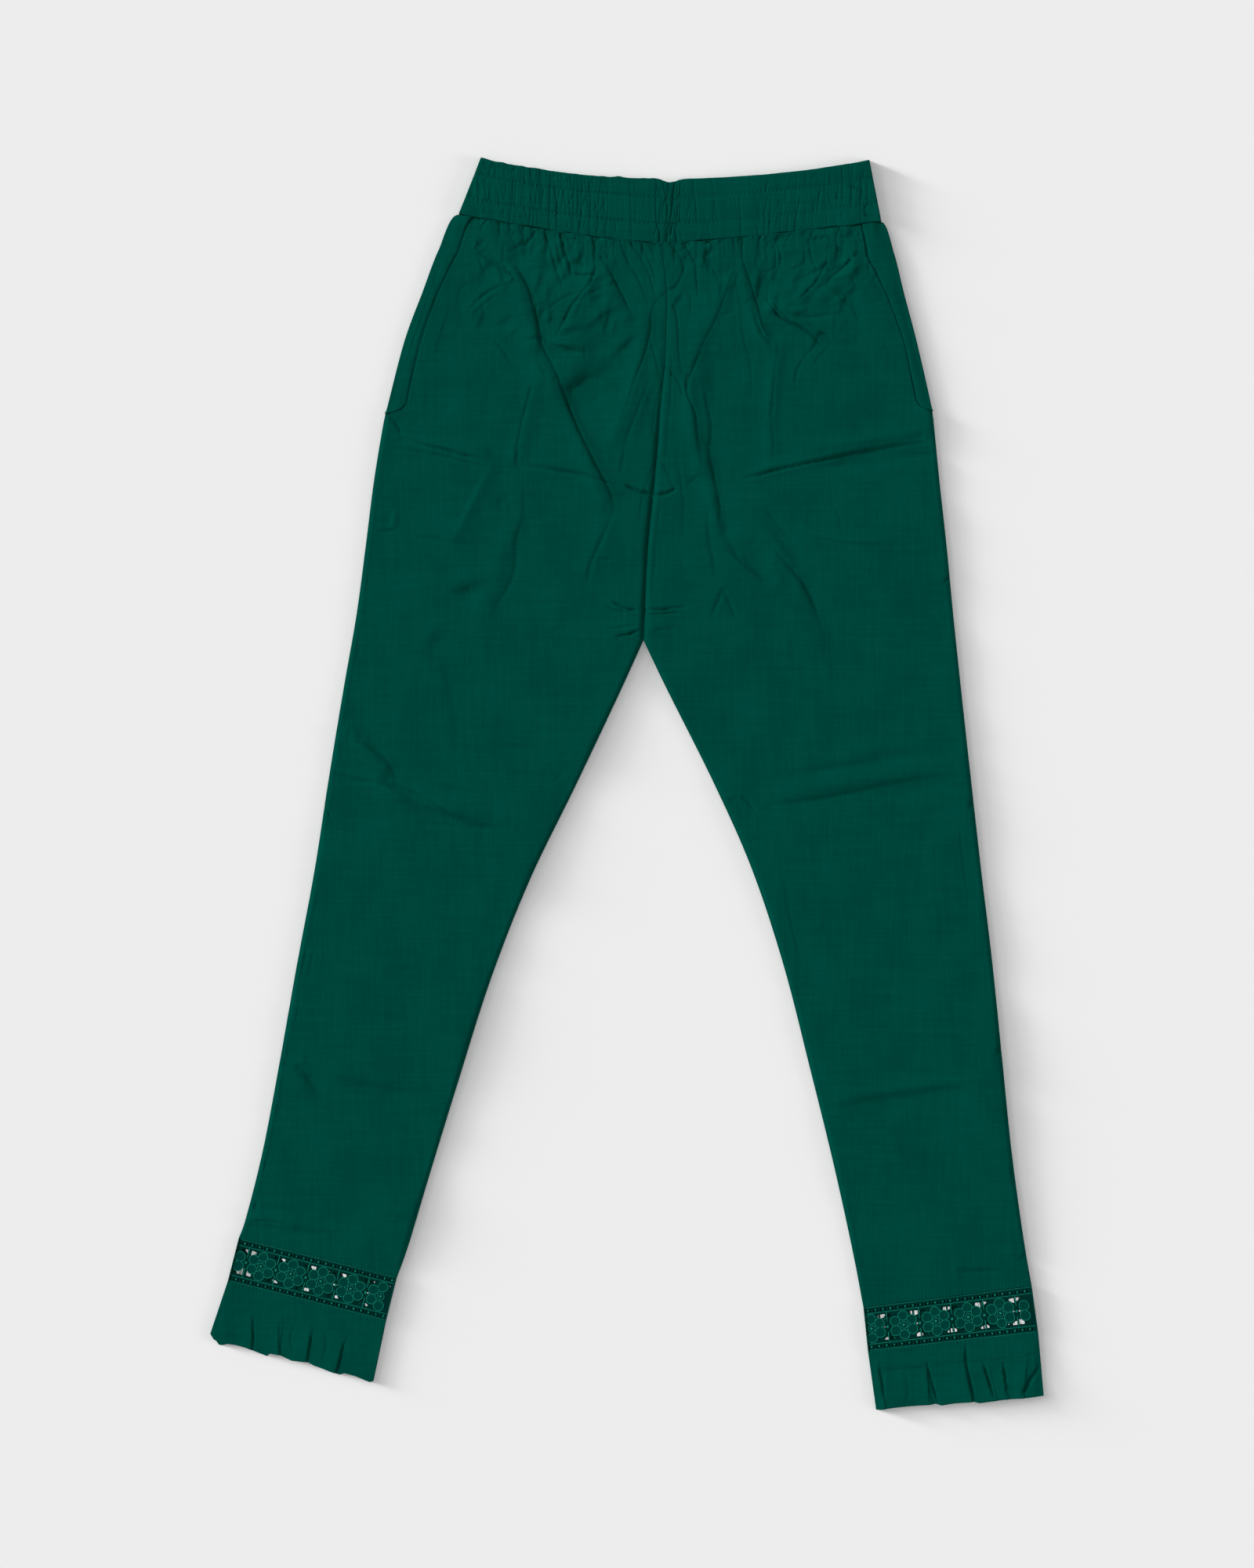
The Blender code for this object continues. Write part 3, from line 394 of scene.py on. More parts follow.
# Soft dark slopes: middle, half widths across and along, bearing of the long axis, fall to the lower right
Slope = namedtuple("Slope", "x y across along turn drop")
SLOPES = [
    Slope(-36, 319, 12, 22, 33, 2.6),
    Slope(-38, 315, 8, 11, 60, 2.0),
    Slope(-48, 344, 4, 13, -4, 2.6),
    Slope(-20, 368, 4, 18, 36, 1.2),
    Slope(-2, 346, 4, 12, 45, 1.1),
    Slope(-84, 399, 3, 14, -55, 1.0),
    Slope(14, 296, 5, 26, 74, 0.9),
    Slope(64, 300, 5, 30, 92, 0.9),
    Slope(109, 358, 4, 18, 118, 1.5),
    Slope(107, 392, 4, 12, 60, 0.6),
    Slope(186, 265, 5.4, 50, 10.5, 5.2),
    Slope(-100, 372, 6, 20, 35, 0.5),
    Slope(141, 152, 5, 28, -64, 1.6),
    Slope(118, 194, 4.5, 20, -50, 1.4),
    Slope(97, 171, 4.5, 20, -42, 1.7),
    Slope(73, 208, 4, 26, -75, 1.0),
    Slope(-92, 180, 6, 40, 70, 0.4),
    Slope(-123, 224, 3.0, 30, 63, -0.8),
    Slope(-186, 209, 2.5, 7, 80, -0.9),
    Slope(-40, 247, 3.2, 22, -12, 0.9),
    Slope(-86, 420, 4, 12, 20, 0.8),
    Slope(-105, 425, 4, 14, -15, 0.8),
    Slope(-60, 412, 4, 9, 20, 0.9),
    Slope(128, 418, 4, 12, 10, 0.8),
    Slope(172, 384, 3, 14, -40, 1.4),
    Slope(96, 392, 4, 16, -72, 0.9),
    Slope(-182, -5, 4.4, 19, -33, 3.6),
    Slope(-140, -23, 4.8, 32, -19, 3.2),
    Slope(-205, 31, 3.6, 17, -36, 3.6),
    Slope(190, 0, 6, 62, 8, 1.0),
    Slope(178, 18, 6, 40, 10, 1.2),
    Slope(220, -244, 4, 52, 8, 0.9),
    Slope(-252, -236, 6, 16, -50, 1.6),
    Slope(-205, -236, 3, 36, -10, 0.9),
    Slope(-276, -349, 3, 34, -8, 1.1),
    Slope(-272, -334, 3, 26, -10, 0.7),
    Slope(-127, 155, 5, 12, 14, 2.4),
    Slope(-150, 116, 6, 10, 30, 1.1),
]
# Reach of a slope across, in its half widths, and how suddenly it falls
SLOPE_REACH = 2.2
SLOPE_SHARPNESS = 1.3
# Fields of small dents: from and to along X, their lowest and highest Y and their count
DENT_FIELDS = [(-118, -8, 352, 424, 46), (100, 186, 372, 424, 26), (30, 96, 380, 424, 10)]
# Least and most of a dent's half widths across and along, its bearing and its fall
LEAST_DENT = (1.8, 4, 0, 0.4)
MOST_DENT = (3.2, 9, 110, 1.15)
# Every crease: spacing of its points, reach in half widths, its line, and the step's rise and hollow
CREASE_STEP = 0.8
CREASE_REACH = 14.0
LINE_DEPTH = 1.15
LINE_WIDTH = 0.78
NARROWEST = 1.15
STEP_SHARE = 0.5
RISE_SHARE = 0.55
LIT_TAIL = 7.0
HOLLOW_PLACE = 3.0
HOLLOW_TAIL = 5.0
# How a crease tapers and varies along its length, and how many points are worked out at once
TAPER = 0.35
SEAM_START = 0.04
UNEVEN_WIDTH = 0.22
UNEVEN_ROUTE = 0.35
UNEVEN_STRENGTH = 0.25
SPOTS_AT_ONCE = 4000
# Direction in the plan that the light comes from
LIGHT_SIDE = np.array((-0.9, 0.43))
# Layers of fine wrinkles: their size, reach below the waist and depth
WRINKLES = ((8.0, 34.0, 1.05), (15.0, 60.0, 0.95), (26.0, 120.0, 0.5))
WRINKLE_SEED = 310
# Layers of waist gathers: their spacing, reach, height and how many are left out
GATHERS = ((4.6, 5.0, 0.5, 0.1), (9.5, 12.0, 0.8, 0.2), (21.0, 38.0, 0.8, 0.1))


def ease(value):
    """Smooth step from 0 to 1."""
    value = np.clip(value, 0.0, 1.0)
    return value * value * (3 - 2 * value)


def bell(value):
    """Round hump, 1 high at 0."""
    return np.exp(-(value**2))


def at_least(least, share):
    """Shares from 0 to 1, moved to run from the least one to 1."""
    return least + (1 - least) * share


def length(vectors):
    """Length of each vector in the last axis."""
    return np.sqrt((vectors**2).sum(axis=-1))


def between(start, end, share):
    """Points at shares of the way from one plan point to another."""
    start = np.array(start, float)
    return start + (np.array(end) - start) * share[..., None]


def along(points, place):
    """Points on a smooth curve through 2D points, at places counted in points."""
    points = np.asarray(points, float)
    place = np.asarray(place, float)
    index = np.clip(place.astype(int), 0, len(points) - 2)
    t = (place - index)[..., None]
    near = points[index]
    far = points[index + 1]
    start = (far - points[np.maximum(index - 1, 0)]) / 2
    end = (points[np.minimum(index + 2, len(points) - 1)] - near) / 2
    near_part = near * (2 * t**3 - 3 * t**2 + 1) + start * (t**3 - 2 * t**2 + t)
    return near_part + far * (3 * t**2 - 2 * t**3) + end * (t**3 - t**2)


def noise(x, y, scale, seed):
    """Smooth random heights from -1 to 1, with lumps of about the given size."""
    table = np.random.default_rng(seed).uniform(-1, 1, (64, 64))
    across = x / scale + 31.7
    up = y / scale + 47.3
    i = np.floor(across).astype(int)
    j = np.floor(up).astype(int)
    s = ease(across - i)
    t = ease(up - j)
    low = table[j % 64, i % 64] * (1 - s) + table[j % 64, (i + 1) % 64] * s
    high = table[(j + 1) % 64, i % 64] * (1 - s) + table[(j + 1) % 64, (i + 1) % 64] * s
    return low * (1 - t) + high * t


def ripple(x, scale, seed):
    """Smooth random heights from -1 to 1 along one line."""
    return noise(x, 0 * x, scale, seed)


def sagging(edge, x):
    """Height in Y of an edge that dips between its two ends, at x."""
    dip_x, dip_y = edge.dip
    end_x = np.where(x < dip_x, edge.right[0], edge.left[0])
    end_y = np.where(x < dip_x, edge.right[1], edge.left[1])
    share = np.clip((x - dip_x) / (end_x - dip_x), 0.0, 1.0)
    return dip_y + (end_y - dip_y) * share**edge.power


def outer_edge(leg, place):
    """Side seam of a leg at places counted in rows."""
    return along([(row.outer_x, row.outer_y) for row in leg.rows], place)


def inner_edge(leg, place):
    """Centre seam down to the crotch, then the inseam."""
    inner = [(row.inner_x, row.inner_y) for row in leg.rows]
    above = along(inner[: CROTCH + 1], np.minimum(place, CROTCH))
    below = along(inner[CROTCH:], np.maximum(place - CROTCH, 0))
    return np.where((place < CROTCH)[..., None], above, below)


def beside_pocket(place):
    """1 along the pocket mouth, 0 below it."""
    return np.clip(POCKET_END - place, 0, 1)


def mouth_inset(leg, place):
    """Distance of the pocket mouth, which lies in a slack curve, from the side seam."""
    return leg.strip + np.interp(place, range(len(leg.slack)), leg.slack)


def panel_plan(leg, share, place, pocket):
    """Points of a leg panel: share from its outer to its inner edge, place counted in rows."""
    outer = outer_edge(leg, place)
    inner = inner_edge(leg, place)
    if pocket:
        inset = mouth_inset(leg, place) * beside_pocket(place)
        across = inner - outer
        outer = outer + across / length(across)[..., None] * inset[..., None]
    plan = outer + (inner - outer) * share[..., None]
    sag = sagging(BAND_BOTTOM, plan[..., 0]) - plan[..., 1]
    plan[..., 1] += sag * ease(1 - place) - GAP / 2 * (place < 1)
    plan[..., 0] -= leg.way * SEAM_OVERLAP * share * (place < CROTCH + 0.5)
    return plan


def under_waist(plan):
    """Distance below the waist seam."""
    return np.maximum(0.0, sagging(BAND_BOTTOM, plan[..., 0]) - plan[..., 1])


def fold_height(plan):
    """Height of all the solids' folds together."""
    total = np.zeros(plan.shape[:-1])
    for fold in FOLDS:
        start = np.array((fold.x0, fold.y0), float)
        chord = np.array((fold.x1, fold.y1), float) - start
        away = plan - start
        share = away @ chord / (chord @ chord)
        held = np.clip(share, 0, 1)
        across = np.array((-chord[1], chord[0])) / np.hypot(*chord)
        distance = away @ across - fold.bend * 4 * held * (1 - held)
        ends = ease(share / FOLD_FADE + 0.5) * ease((1 - share) / FOLD_FADE + 0.5)
        total += fold.height * ends * bell(distance / fold.width)
    return total


def crease_height(plan, creases):
    """Height of creases: cloth rises to each line, drops over it and falls on to a wide hollow."""
    total = np.zeros(plan.shape[:-1])
    for seed, crease in enumerate(creases):
        points = np.array(crease.points, float)
        pieces = max(2, int(length(np.diff(points, axis=0)).sum() / CREASE_STEP))
        line = along(points, np.linspace(0, len(points) - 1, pieces + 1))
        reach = CREASE_REACH * crease.width
        near = ((plan > line.min(axis=0) - reach) & (plan < line.max(axis=0) + reach)).all(axis=-1)
        spots = plan[near]
        if not len(spots):
            continue
        ways = np.gradient(line, axis=0)
        ways /= length(ways)[:, None]
        sides = np.stack([-ways[:, 1], ways[:, 0]], axis=1)
        faces_light = sides.mean(axis=0) @ LIGHT_SIDE > 0
        sides *= 1 if faces_light != crease.other else -1
        along_light = 1 + (ways @ LIGHT_SIDE) ** 4
        parts = np.array_split(spots, len(spots) // SPOTS_AT_ONCE + 1)
        nearest = np.concatenate([length(part[:, None] - line[None]).argmin(axis=1) for part in parts])
        away = spots - line[nearest]
        distance = (away * sides[nearest]).sum(axis=1)
        beyond = (away * ways[nearest]).sum(axis=1)
        share = (nearest * CREASE_STEP + beyond) / (pieces * CREASE_STEP)
        wobble = ripple(share * 9, 1.0, seed + 500)
        width = np.maximum(crease.width * (1 + UNEVEN_WIDTH * wobble), NARROWEST)
        offset = (distance + UNEVEN_ROUTE * ripple(share * 14, 1.0, seed + 900)) / width
        head = np.maximum(ease(share / TAPER), crease.start * ease(share / SEAM_START + 1))
        strength = head * ease((1 - share) / TAPER) * (1 + UNEVEN_STRENGTH * wobble)
        line_depth = LINE_DEPTH * crease.depth * along_light[nearest] * bell((offset + 0.3) / LINE_WIDTH)
        over = ease((offset + 0.45) / 0.9)
        lit = RISE_SHARE * bell(offset / LIT_TAIL) * over
        hollow = bell((-offset - HOLLOW_PLACE) / HOLLOW_TAIL) * (1 - over)
        total[near] += strength * (STEP_SHARE * crease.step * (lit - hollow) - line_depth)
    return total


def dents():
    """Small soft slopes scattered over the gathered cloth below the waist seam."""
    rng = np.random.default_rng(8)
    return [
        Slope(rng.uniform(first, last), rng.uniform(low, high), *rng.uniform(LEAST_DENT, MOST_DENT))
        for first, last, low, high, count in DENT_FIELDS
        for _ in range(count)
    ]


def slope_height(plan):
    """Height of the soft slopes, which rise again gently around them."""
    total = np.zeros(plan.shape[:-1])
    for slope in SLOPES + dents():
        turn = math.radians(slope.turn)
        way = np.array((math.cos(turn), math.sin(turn)))
        side = np.array((-way[1], way[0]))
        side *= np.sign(side @ LIGHT_SIDE)
        away = plan - np.array((slope.x, slope.y))
        far = away @ side / slope.across
        fade = np.exp(-((away @ way / slope.along) ** 2) - (far / SLOPE_REACH) ** 2)
        total += slope.drop * fade * np.tanh(SLOPE_SHARPNESS * far)
    return total


def crumple(plan, below):
    """Fine wrinkles in random curves, which thin out below the waist seam."""
    x = plan[..., 0]
    y = plan[..., 1]
    total = np.zeros(x.shape)
    for seed, (size, reach, depth) in enumerate(WRINKLES, WRINKLE_SEED):
        field = noise(x, y * 0.6, size, seed) + 0.4 * noise(x, y, size / 2, seed + 10)
        patch = ease(0.5 + 1.3 * noise(x, y, 2.2 * size, seed + 20))
        total -= depth * patch * bell(field / 0.13) * np.exp(-((below / reach) ** 1.5))
    return total


def waist_ticks(leg):
    """Short creases of uneven length that come down from the waist seam."""
    rng = np.random.default_rng(3 + leg.number)
    first = leg.rows[0]
    x, last = sorted((first.inner_x + 3 * leg.way, first.outer_x - (leg.strip + 2) * leg.way))
    creases = []
    while x < last:
        reach = rng.choice((5, 8, 12, 20)) * rng.uniform(0.8, 1.25)
        y = sagging(BAND_BOTTOM, x) - 1
        bend = rng.normal(0, 1.0)
        slant = rng.normal(0, 2.2)
        points = [(x, y), (x + bend + slant / 2, y - reach / 2), (x + slant, y - reach)]
        creases.append(Crease(rng.uniform(0.2, 0.7), rng.uniform(0.9, 1.2), 0.4, 1.0, points))
        x += rng.uniform(3.5, 13.0)
    return creases


def side_nicks(leg):
    """Small creases that slant into a panel from its outer edge."""
    creases = []
    for place, reach in leg.nicks:
        start, end = outer_edge(leg, (place, place + 0.12))
        end = end - (leg.way * reach, 0)
        creases.append(Crease(0.8, 1.2, 0.7, 1.0, [start, (start + end) / 2 + (0, 0.7), end]))
    return creases


def gathers(x, below, first_seed):
    """Uneven gathers with narrow troughs, which fade and part below the waist seam."""
    total = np.zeros(x.shape)
    for seed, (pitch, depth, height, bare) in enumerate(GATHERS, first_seed):
        sway = 0.45 * pitch * noise(x, below * 0.35, 2.3 * pitch, seed)
        drift = below * 0.16 * ripple(x, 3 * pitch, seed + 10)
        wave = np.abs(np.sin(math.pi * (x + sway + drift) / pitch))
        uneven = ease(0.45 + 0.9 * noise(x, below * 0.4, 1.9 * pitch, seed + 20) - bare)
        reach = depth * (0.8 + 0.5 * ripple(x, 2 * pitch, seed + 30))
        total += height * uneven * np.exp(-below / reach) * (0.35 - bell(wave / 0.34))
    return total


def cloth_waves(plan):
    """Shallow unevenness of washed cotton, in broad and small lumps."""
    x = plan[..., 0]
    y = plan[..., 1]
    broad = 1.1 * noise(x, y, 47, seed=1) + 0.6 * noise(x + 0.5 * y, y - 0.2 * x, 21, seed=2)
    return broad + 0.16 * noise(x + 0.3 * y, y * 0.7, 9.5, seed=3) + 0.06 * noise(x, y, 4.2, seed=4)


def front_height(leg, place, plan):
    """Height of a front panel's face over the lowest it may lie."""
    x = plan[..., 0]
    below = under_waist(plan)
    from_outer = length(plan - outer_edge(leg, place))
    from_inner = length(plan - inner_edge(leg, place))
    near_side = ease(from_outer / SIDE_ROUNDING)
    seam_dip = SEAM_DIP + (SEAM_DIP_LOW - SEAM_DIP) * ease((place - 3) / 2.5)
    near_seam = 1 - seam_dip * bell(from_inner / SEAM_DIP_WIDTH)
    near_inseam = ease(from_inner / SIDE_ROUNDING)
    split = ease((place - CROTCH + 1) / 1.5)
    rounding = near_side * (near_seam * (1 - split) + near_inseam * split)
    calm = ease((LACE_SEAM - place) / LACE_CALM_ROWS)
    folds = FOLD_SHARE * fold_height(plan) * at_least(FOLD_AT_SIDE, near_side)
    height = (PUFF * rounding + folds * ease((from_inner + 2) / SEAM_CALM)) * calm
    inside = from_outer - mouth_inset(leg, place)
    by_mouth = at_least(LIFT_AT_MOUTH, ease((inside - 1) / MOUTH_REACH))
    height += WAIST_LIFT * np.exp(-below / WAIST_LIFT_LENGTH) * by_mouth
    height += gathers(x, below, first_seed=40 + 30 * leg.number) * ease(from_inner / 4)
    pocket = beside_pocket(place)
    height = np.maximum(height, MOUTH_LIFT * ease((LIFT_WIDTH - inside) / LIFT_FADE) * pocket)
    height -= MOUTH_FALL * bell(inside / 5) * pocket
    edge = ease(np.minimum(from_outer, from_inner) / EDGE_CALM)
    height += crease_height(plan, CREASES) * at_least(0.4, edge)
    height += crease_height(plan, side_nicks(leg) + waist_ticks(leg))
    height += (slope_height(plan) + crumple(plan, below)) * edge
    seam_dark = ease((place - 2.6) / 1.6) * (1 - split)
    height -= SEAM_GROOVE * seam_dark * bell(from_inner / SEAM_GROOVE_WIDTH)
    height += cloth_waves(plan) * at_least(0.35, edge * calm)
    puckers = np.sin(x / 0.42 + 1.5 * ripple(x, 7, seed=7))
    return height + PUCKER * puckers * ease((place - LACE_SEAM + 0.35) / 0.35)


def drawn_in(plan, radius):
    """Grid whose edges lie inside by the radius of their turned cloth."""
    for _ in range(2):
        rows = []
        for line in plan:
            way = np.concatenate([[0], np.cumsum(length(np.diff(line, axis=0)))])
            inset = min(radius, way[-1] / 8)
            spots = inset + way * (way[-1] - 2 * inset) / way[-1]
            rows.append(np.stack([np.interp(spots, way, line[:, axis]) for axis in (0, 1)], 1))
        plan = np.array(rows).swapaxes(0, 1)
    return plan


def rolled(plan, height, foot, radius):
    """Grid with a turned edge added after its last column, down to foot."""
    edge = plan[:, -1]
    way = edge - plan[:, -2]
    way /= np.maximum(length(way), 1e-9)[:, None]
    top = height[:, -1]
    foot = np.broadcast_to(foot, top.shape)
    radius = np.minimum(radius, np.maximum(top - foot, 0.02))
    plans = [plan]
    heights = [height]
    for angle in ROLL_ANGLES:
        turn = math.radians(angle)
        plans.append((edge + way * (radius * math.sin(turn))[:, None])[:, None])
        heights.append(np.maximum(top - radius * (1 - math.cos(turn)), foot + 0.02)[:, None])
    plans.append((edge + way * (radius * 0.8)[:, None])[:, None])
    heights.append(foot[:, None])
    return np.concatenate(plans, 1), np.concatenate(heights, 1)


def turned(plan, height, feet, radius):
    """Grid with its four edges turned over, down to the feet of the outer, the inner and the other two."""
    outer, inner, end = feet
    for pair in ((outer, inner), (end, end)):
        for foot in pair:
            plan, height = rolled(plan[:, ::-1], height[:, ::-1], foot, radius)
        plan = plan.swapaxes(0, 1)
        height = height.T
    return plan, height


def lowest_around(height, reach):
    """Lowest height within some columns and rows of each point."""
    for _ in range(2):
        padded = np.pad(height, ((reach, reach), (0, 0)), mode="edge")
        height = np.min([padded[k : k + len(height)] for k in range(2 * reach + 1)], axis=0).T
    return height


def cloth_piece(name, plan, height, feet, under=None, radius=EDGE_RADIUS):
    """Closed thin cloth of a grid: its face, turned edges, and an underside, coarser unless it is given."""
    step = UNDER_STEP if under is None else 1
    plan, height = turned(plan, height, feet, radius)
    rows, columns = height.shape
    assert (rows - 1) % step == 0 and (columns - 1) % step == 0, name
    if under is None:
        outer = np.pad(np.broadcast_to(feet[0], rows - 2 * ROLL), ROLL, mode="edge")
        by_outer = np.arange(columns) < ROLL * UNDER_STEP
        lowest = np.where(by_outer, outer[:, None], feet[1])
        under = np.maximum(lowest_around(height, UNDER_STEP) - SHELL, lowest)
    else:
        under = np.pad(under, ROLL)
    index = np.arange(rows * columns).reshape(rows, columns)
    inner = np.ix_(np.arange(step, rows - 1, step), np.arange(step, columns - 1, step))
    tops = np.dstack([plan, height]).reshape(-1, 3)
    lows = np.dstack([plan, under])[inner]
    low_index = index.copy()
    low_index[inner] = rows * columns + np.arange(lows.shape[0] * lows.shape[1]).reshape(lows.shape[:2])
    quads = np.stack([index[:-1, :-1], index[:-1, 1:], index[1:, 1:], index[1:, :-1]], -1).reshape(-1, 4)
    faces = quads.tolist() + under_faces(low_index, step)
    return piece(name, np.concatenate([tops, lows.reshape(-1, 3)]), faces)


def under_faces(index, step):
    """Faces of the underside, which take in each fine point along the rim."""
    last_row = index.shape[0] - 1
    last_column = index.shape[1] - 1
    faces = []
    for i in range(0, last_row, step):
        for j in range(0, last_column, step):
            loop = [(i, j + k) for k in range(1 if i else step)]
            loop += [(i + k, j + step) for k in range(step if j + step == last_column else 1)]
            loop += [(i + step, j + step - k) for k in range(step if i + step == last_row else 1)]
            loop += [(i + step - k, j) for k in range(1 if j else step)]
            faces.append([int(index[spot]) for spot in reversed(loop)])
    return faces


def linked(name, data):
    """Object of a mesh, curve, light or camera, in the scene."""
    obj = bpy.data.objects.new(name, data)
    bpy.context.scene.collection.objects.link(obj)
    return obj


def piece(name, points, faces):
    """Smooth-shaded object from points in millimetres, facing outward."""
    data = bpy.data.meshes.new(name)
    data.from_pydata((np.asarray(points) * MM).tolist(), [], faces)
    mesh = bmesh.new()
    mesh.from_mesh(data)
    bmesh.ops.recalc_face_normals(mesh, faces=mesh.faces)
    bmesh.ops.triangulate(mesh, faces=[face for face in mesh.faces if len(face.verts) > 4])
    mesh.to_mesh(data)
    mesh.free()
    data.shade_smooth()
    return linked(name, data)


def grid(columns, rows):
    """Shares across and down a grid with so many columns and rows."""
    return np.meshgrid(np.linspace(0, 1, columns + 1), np.linspace(0, 1, rows + 1))


# Stretches of a front panel's rows, as first and last place and their count: closer where it creases
FRONT_STRETCHES = [
    (0.0, 1.0, 27), (1.0, 5.0, 126), (5.0, 7.0, 77), (7.0, 8.0, 68), (8.0, 9.6, 24),
    (9.6, 10.6, 42), (10.6, 12.8, 22), (12.8, 13.6, 22), (13.6, 14.6, 12), (14.6, 16.0, 34),
]
# Columns of a front panel, those over which it rises to clear the facing, and feet of the turned edges
FRONT_COLUMNS = 190
MOUTH_COLUMNS = 13.5
FRONT_FEET = (FRONT_FOOT,) * 3
FLAT_FEET = (0.0,) * 3


def leg_front(leg):
    """Front leg panel."""
    stretches = [np.linspace(start, end, count + 1)[1:] for start, end, count in FRONT_STRETCHES]
    places = np.concatenate([[0.0], *stretches])
    share, place = np.meshgrid(np.linspace(0, 1, FRONT_COLUMNS + 1), places)
    plan = drawn_in(panel_plan(leg, share, place, True), EDGE_RADIUS)
    uneven = 0.9 * ripple(place * 10, 6, seed=65) + 0.4 * ripple(place * 10, 2.5, seed=66)
    plan[..., 0] += uneven * ease(1 - share / 0.02) * beside_pocket(place)
    near_waist = ease(1 - place / 0.5)
    x = plan[..., 0]
    plan[..., 1] += 0.5 * ripple(x, 7, seed=61) * near_waist
    height = FRONT_BASE + CLOTH + front_height(leg, place, plan)
    height += (0.8 * ripple(x, 6, seed=62) + 0.5 * ripple(x, 2.6, seed=63)) * near_waist
    height = np.maximum(height, FRONT_FOOT + SHELL + 0.1)
    outer_foot = FRONT_FOOT + (2 * FRONT_BASE + 0.1 - FRONT_FOOT) * beside_pocket(places)
    by_mouth = ease((MOUTH_COLUMNS - share * FRONT_COLUMNS) / 1.5)
    lift = (outer_foot[:, None] + 0.5 - FRONT_FOOT - SHELL) * by_mouth
    height = np.maximum(height, FRONT_FOOT + SHELL + lift)
    return cloth_piece(f"front_{leg.side}_cloth", plan, height, (outer_foot, FRONT_FOOT, FRONT_FOOT))


# Back panels: creases pressed into the side that they rest on, columns and rows, edge radius, deepest hollow
BACK_CREASES = [
    Crease(1.0, 3.4, 0.0, 0.3, [(240, 268), (180, 260), (110, 248), (36, 238)]),
    Crease(1.0, 3.4, 0.0, 0.3, [(-192, 272), (-120, 258), (-60, 246), (8, 238)]),
    Crease(0.8, 3.8, 0.0, 0.3, [(34, 330), (66, 288), (118, 246), (168, 222)]),
    Crease(0.9, 3.6, 0.0, 0.3, [(16, 318), (-24, 270), (-82, 226), (-150, 202)]),
    Crease(0.7, 3.4, 0.0, 0.5, [(24, 176), (58, 156), (122, 142)]),
    Crease(0.8, 3.4, 0.0, 0.5, [(8, 168), (-44, 146), (-108, 134)]),
    Crease(0.6, 3.6, 0.0, 0.2, [(206, 330), (172, 296), (150, 262)]),
    Crease(0.7, 3.2, 0.0, 0.2, [(-150, 336), (-118, 300), (-102, 252)]),
    Crease(1.0, 3.8, 0.0, 0.2, [(280, -62), (214, -76), (120, -70)]),
    Crease(0.6, 3.4, 0.0, 0.1, [(262, -104), (210, -112), (158, -102)]),
    Crease(1.0, 3.8, 0.0, 0.2, [(-244, -52), (-180, -74), (-98, -82)]),
    Crease(0.6, 3.4, 0.0, 0.1, [(-226, -12), (-176, -30), (-120, -32)]),
    Crease(0.8, 3.6, 0.0, 0.2, [(298, -238), (232, -250), (166, -254)]),
    Crease(0.8, 3.6, 0.0, 0.2, [(-276, -224), (-220, -244), (-156, -252)]),
]
BACK_GRID = (58, 217)
BACK_RADIUS = 0.55
BACK_HOLLOW = 0.42


def leg_back(leg):
    """Back leg panel, with soft creases in the side that it rests on."""
    share, place = grid(*BACK_GRID)
    place = place * LACE_SEAM
    plan = drawn_in(panel_plan(leg, share, place, False), BACK_RADIUS)
    x = plan[..., 0]
    hollows = 0.16 * noise(x, plan[..., 1], 38, seed=91) - 0.04
    hollows -= 0.4 * crease_height(plan, BACK_CREASES)
    hollows -= 0.3 * gathers(x, under_waist(plan), first_seed=90)
    height = np.full(place.shape, CLOTH - 0.04)
    under = np.clip(hollows, 0, BACK_HOLLOW)
    return cloth_piece(f"back_{leg.side}_cloth", plan, height, FLAT_FEET, under, BACK_RADIUS)


# Pocket facing: columns and rows, how far it runs under the front, its puff and its creases
FACING_GRID = (22, 130)
FACING_OVERLAP = 6.0
FACING_PUFF = 0.9
FACING_CREASES = [
    Crease(0.5, 0.9, 0.2, 0.3, [(203, 430), (212, 400), (224, 352), (237, 304)]),
    Crease(0.4, 0.9, 0.2, 0.3, [(-138, 432), (-151, 402), (-169, 350), (-184, 304)]),
]


def facing(leg):
    """Strip of the pocket that shows beside the mouth."""
    share, place = grid(*FACING_GRID)
    place = place * (POCKET_END - 0.25)
    width = length(inner_edge(leg, place) - outer_edge(leg, place))
    inset = mouth_inset(leg, place)
    reach = (inset + FACING_OVERLAP) * np.clip((POCKET_END - 0.2 - place) / 0.8, 0.05, 1)
    plan = drawn_in(panel_plan(leg, share * reach / width, place, False), EDGE_RADIUS)
    x = plan[..., 0]
    below = under_waist(plan)
    puff = ease(share / 0.45) * ease((inset / (inset + FACING_OVERLAP) - 0.01 - share) / 0.07)
    rise = FACING_PUFF + 0.2 * noise(x, plan[..., 1], 11, seed=5) + crease_height(plan, FACING_CREASES)
    rise += WAIST_LIFT * np.exp(-below / WAIST_LIFT_LENGTH) + 0.5 * np.exp(-below / 10) * np.sin(x / 1.7)
    height = FRONT_BASE + CLOTH + rise * puff
    return cloth_piece(f"pocket_facing_{leg.side}_cloth", plan, height, FRONT_FEET)


# Notch in the band's top edge where it dips
NOTCH_DEPTH = 3.0
NOTCH_WIDTH = 7.0


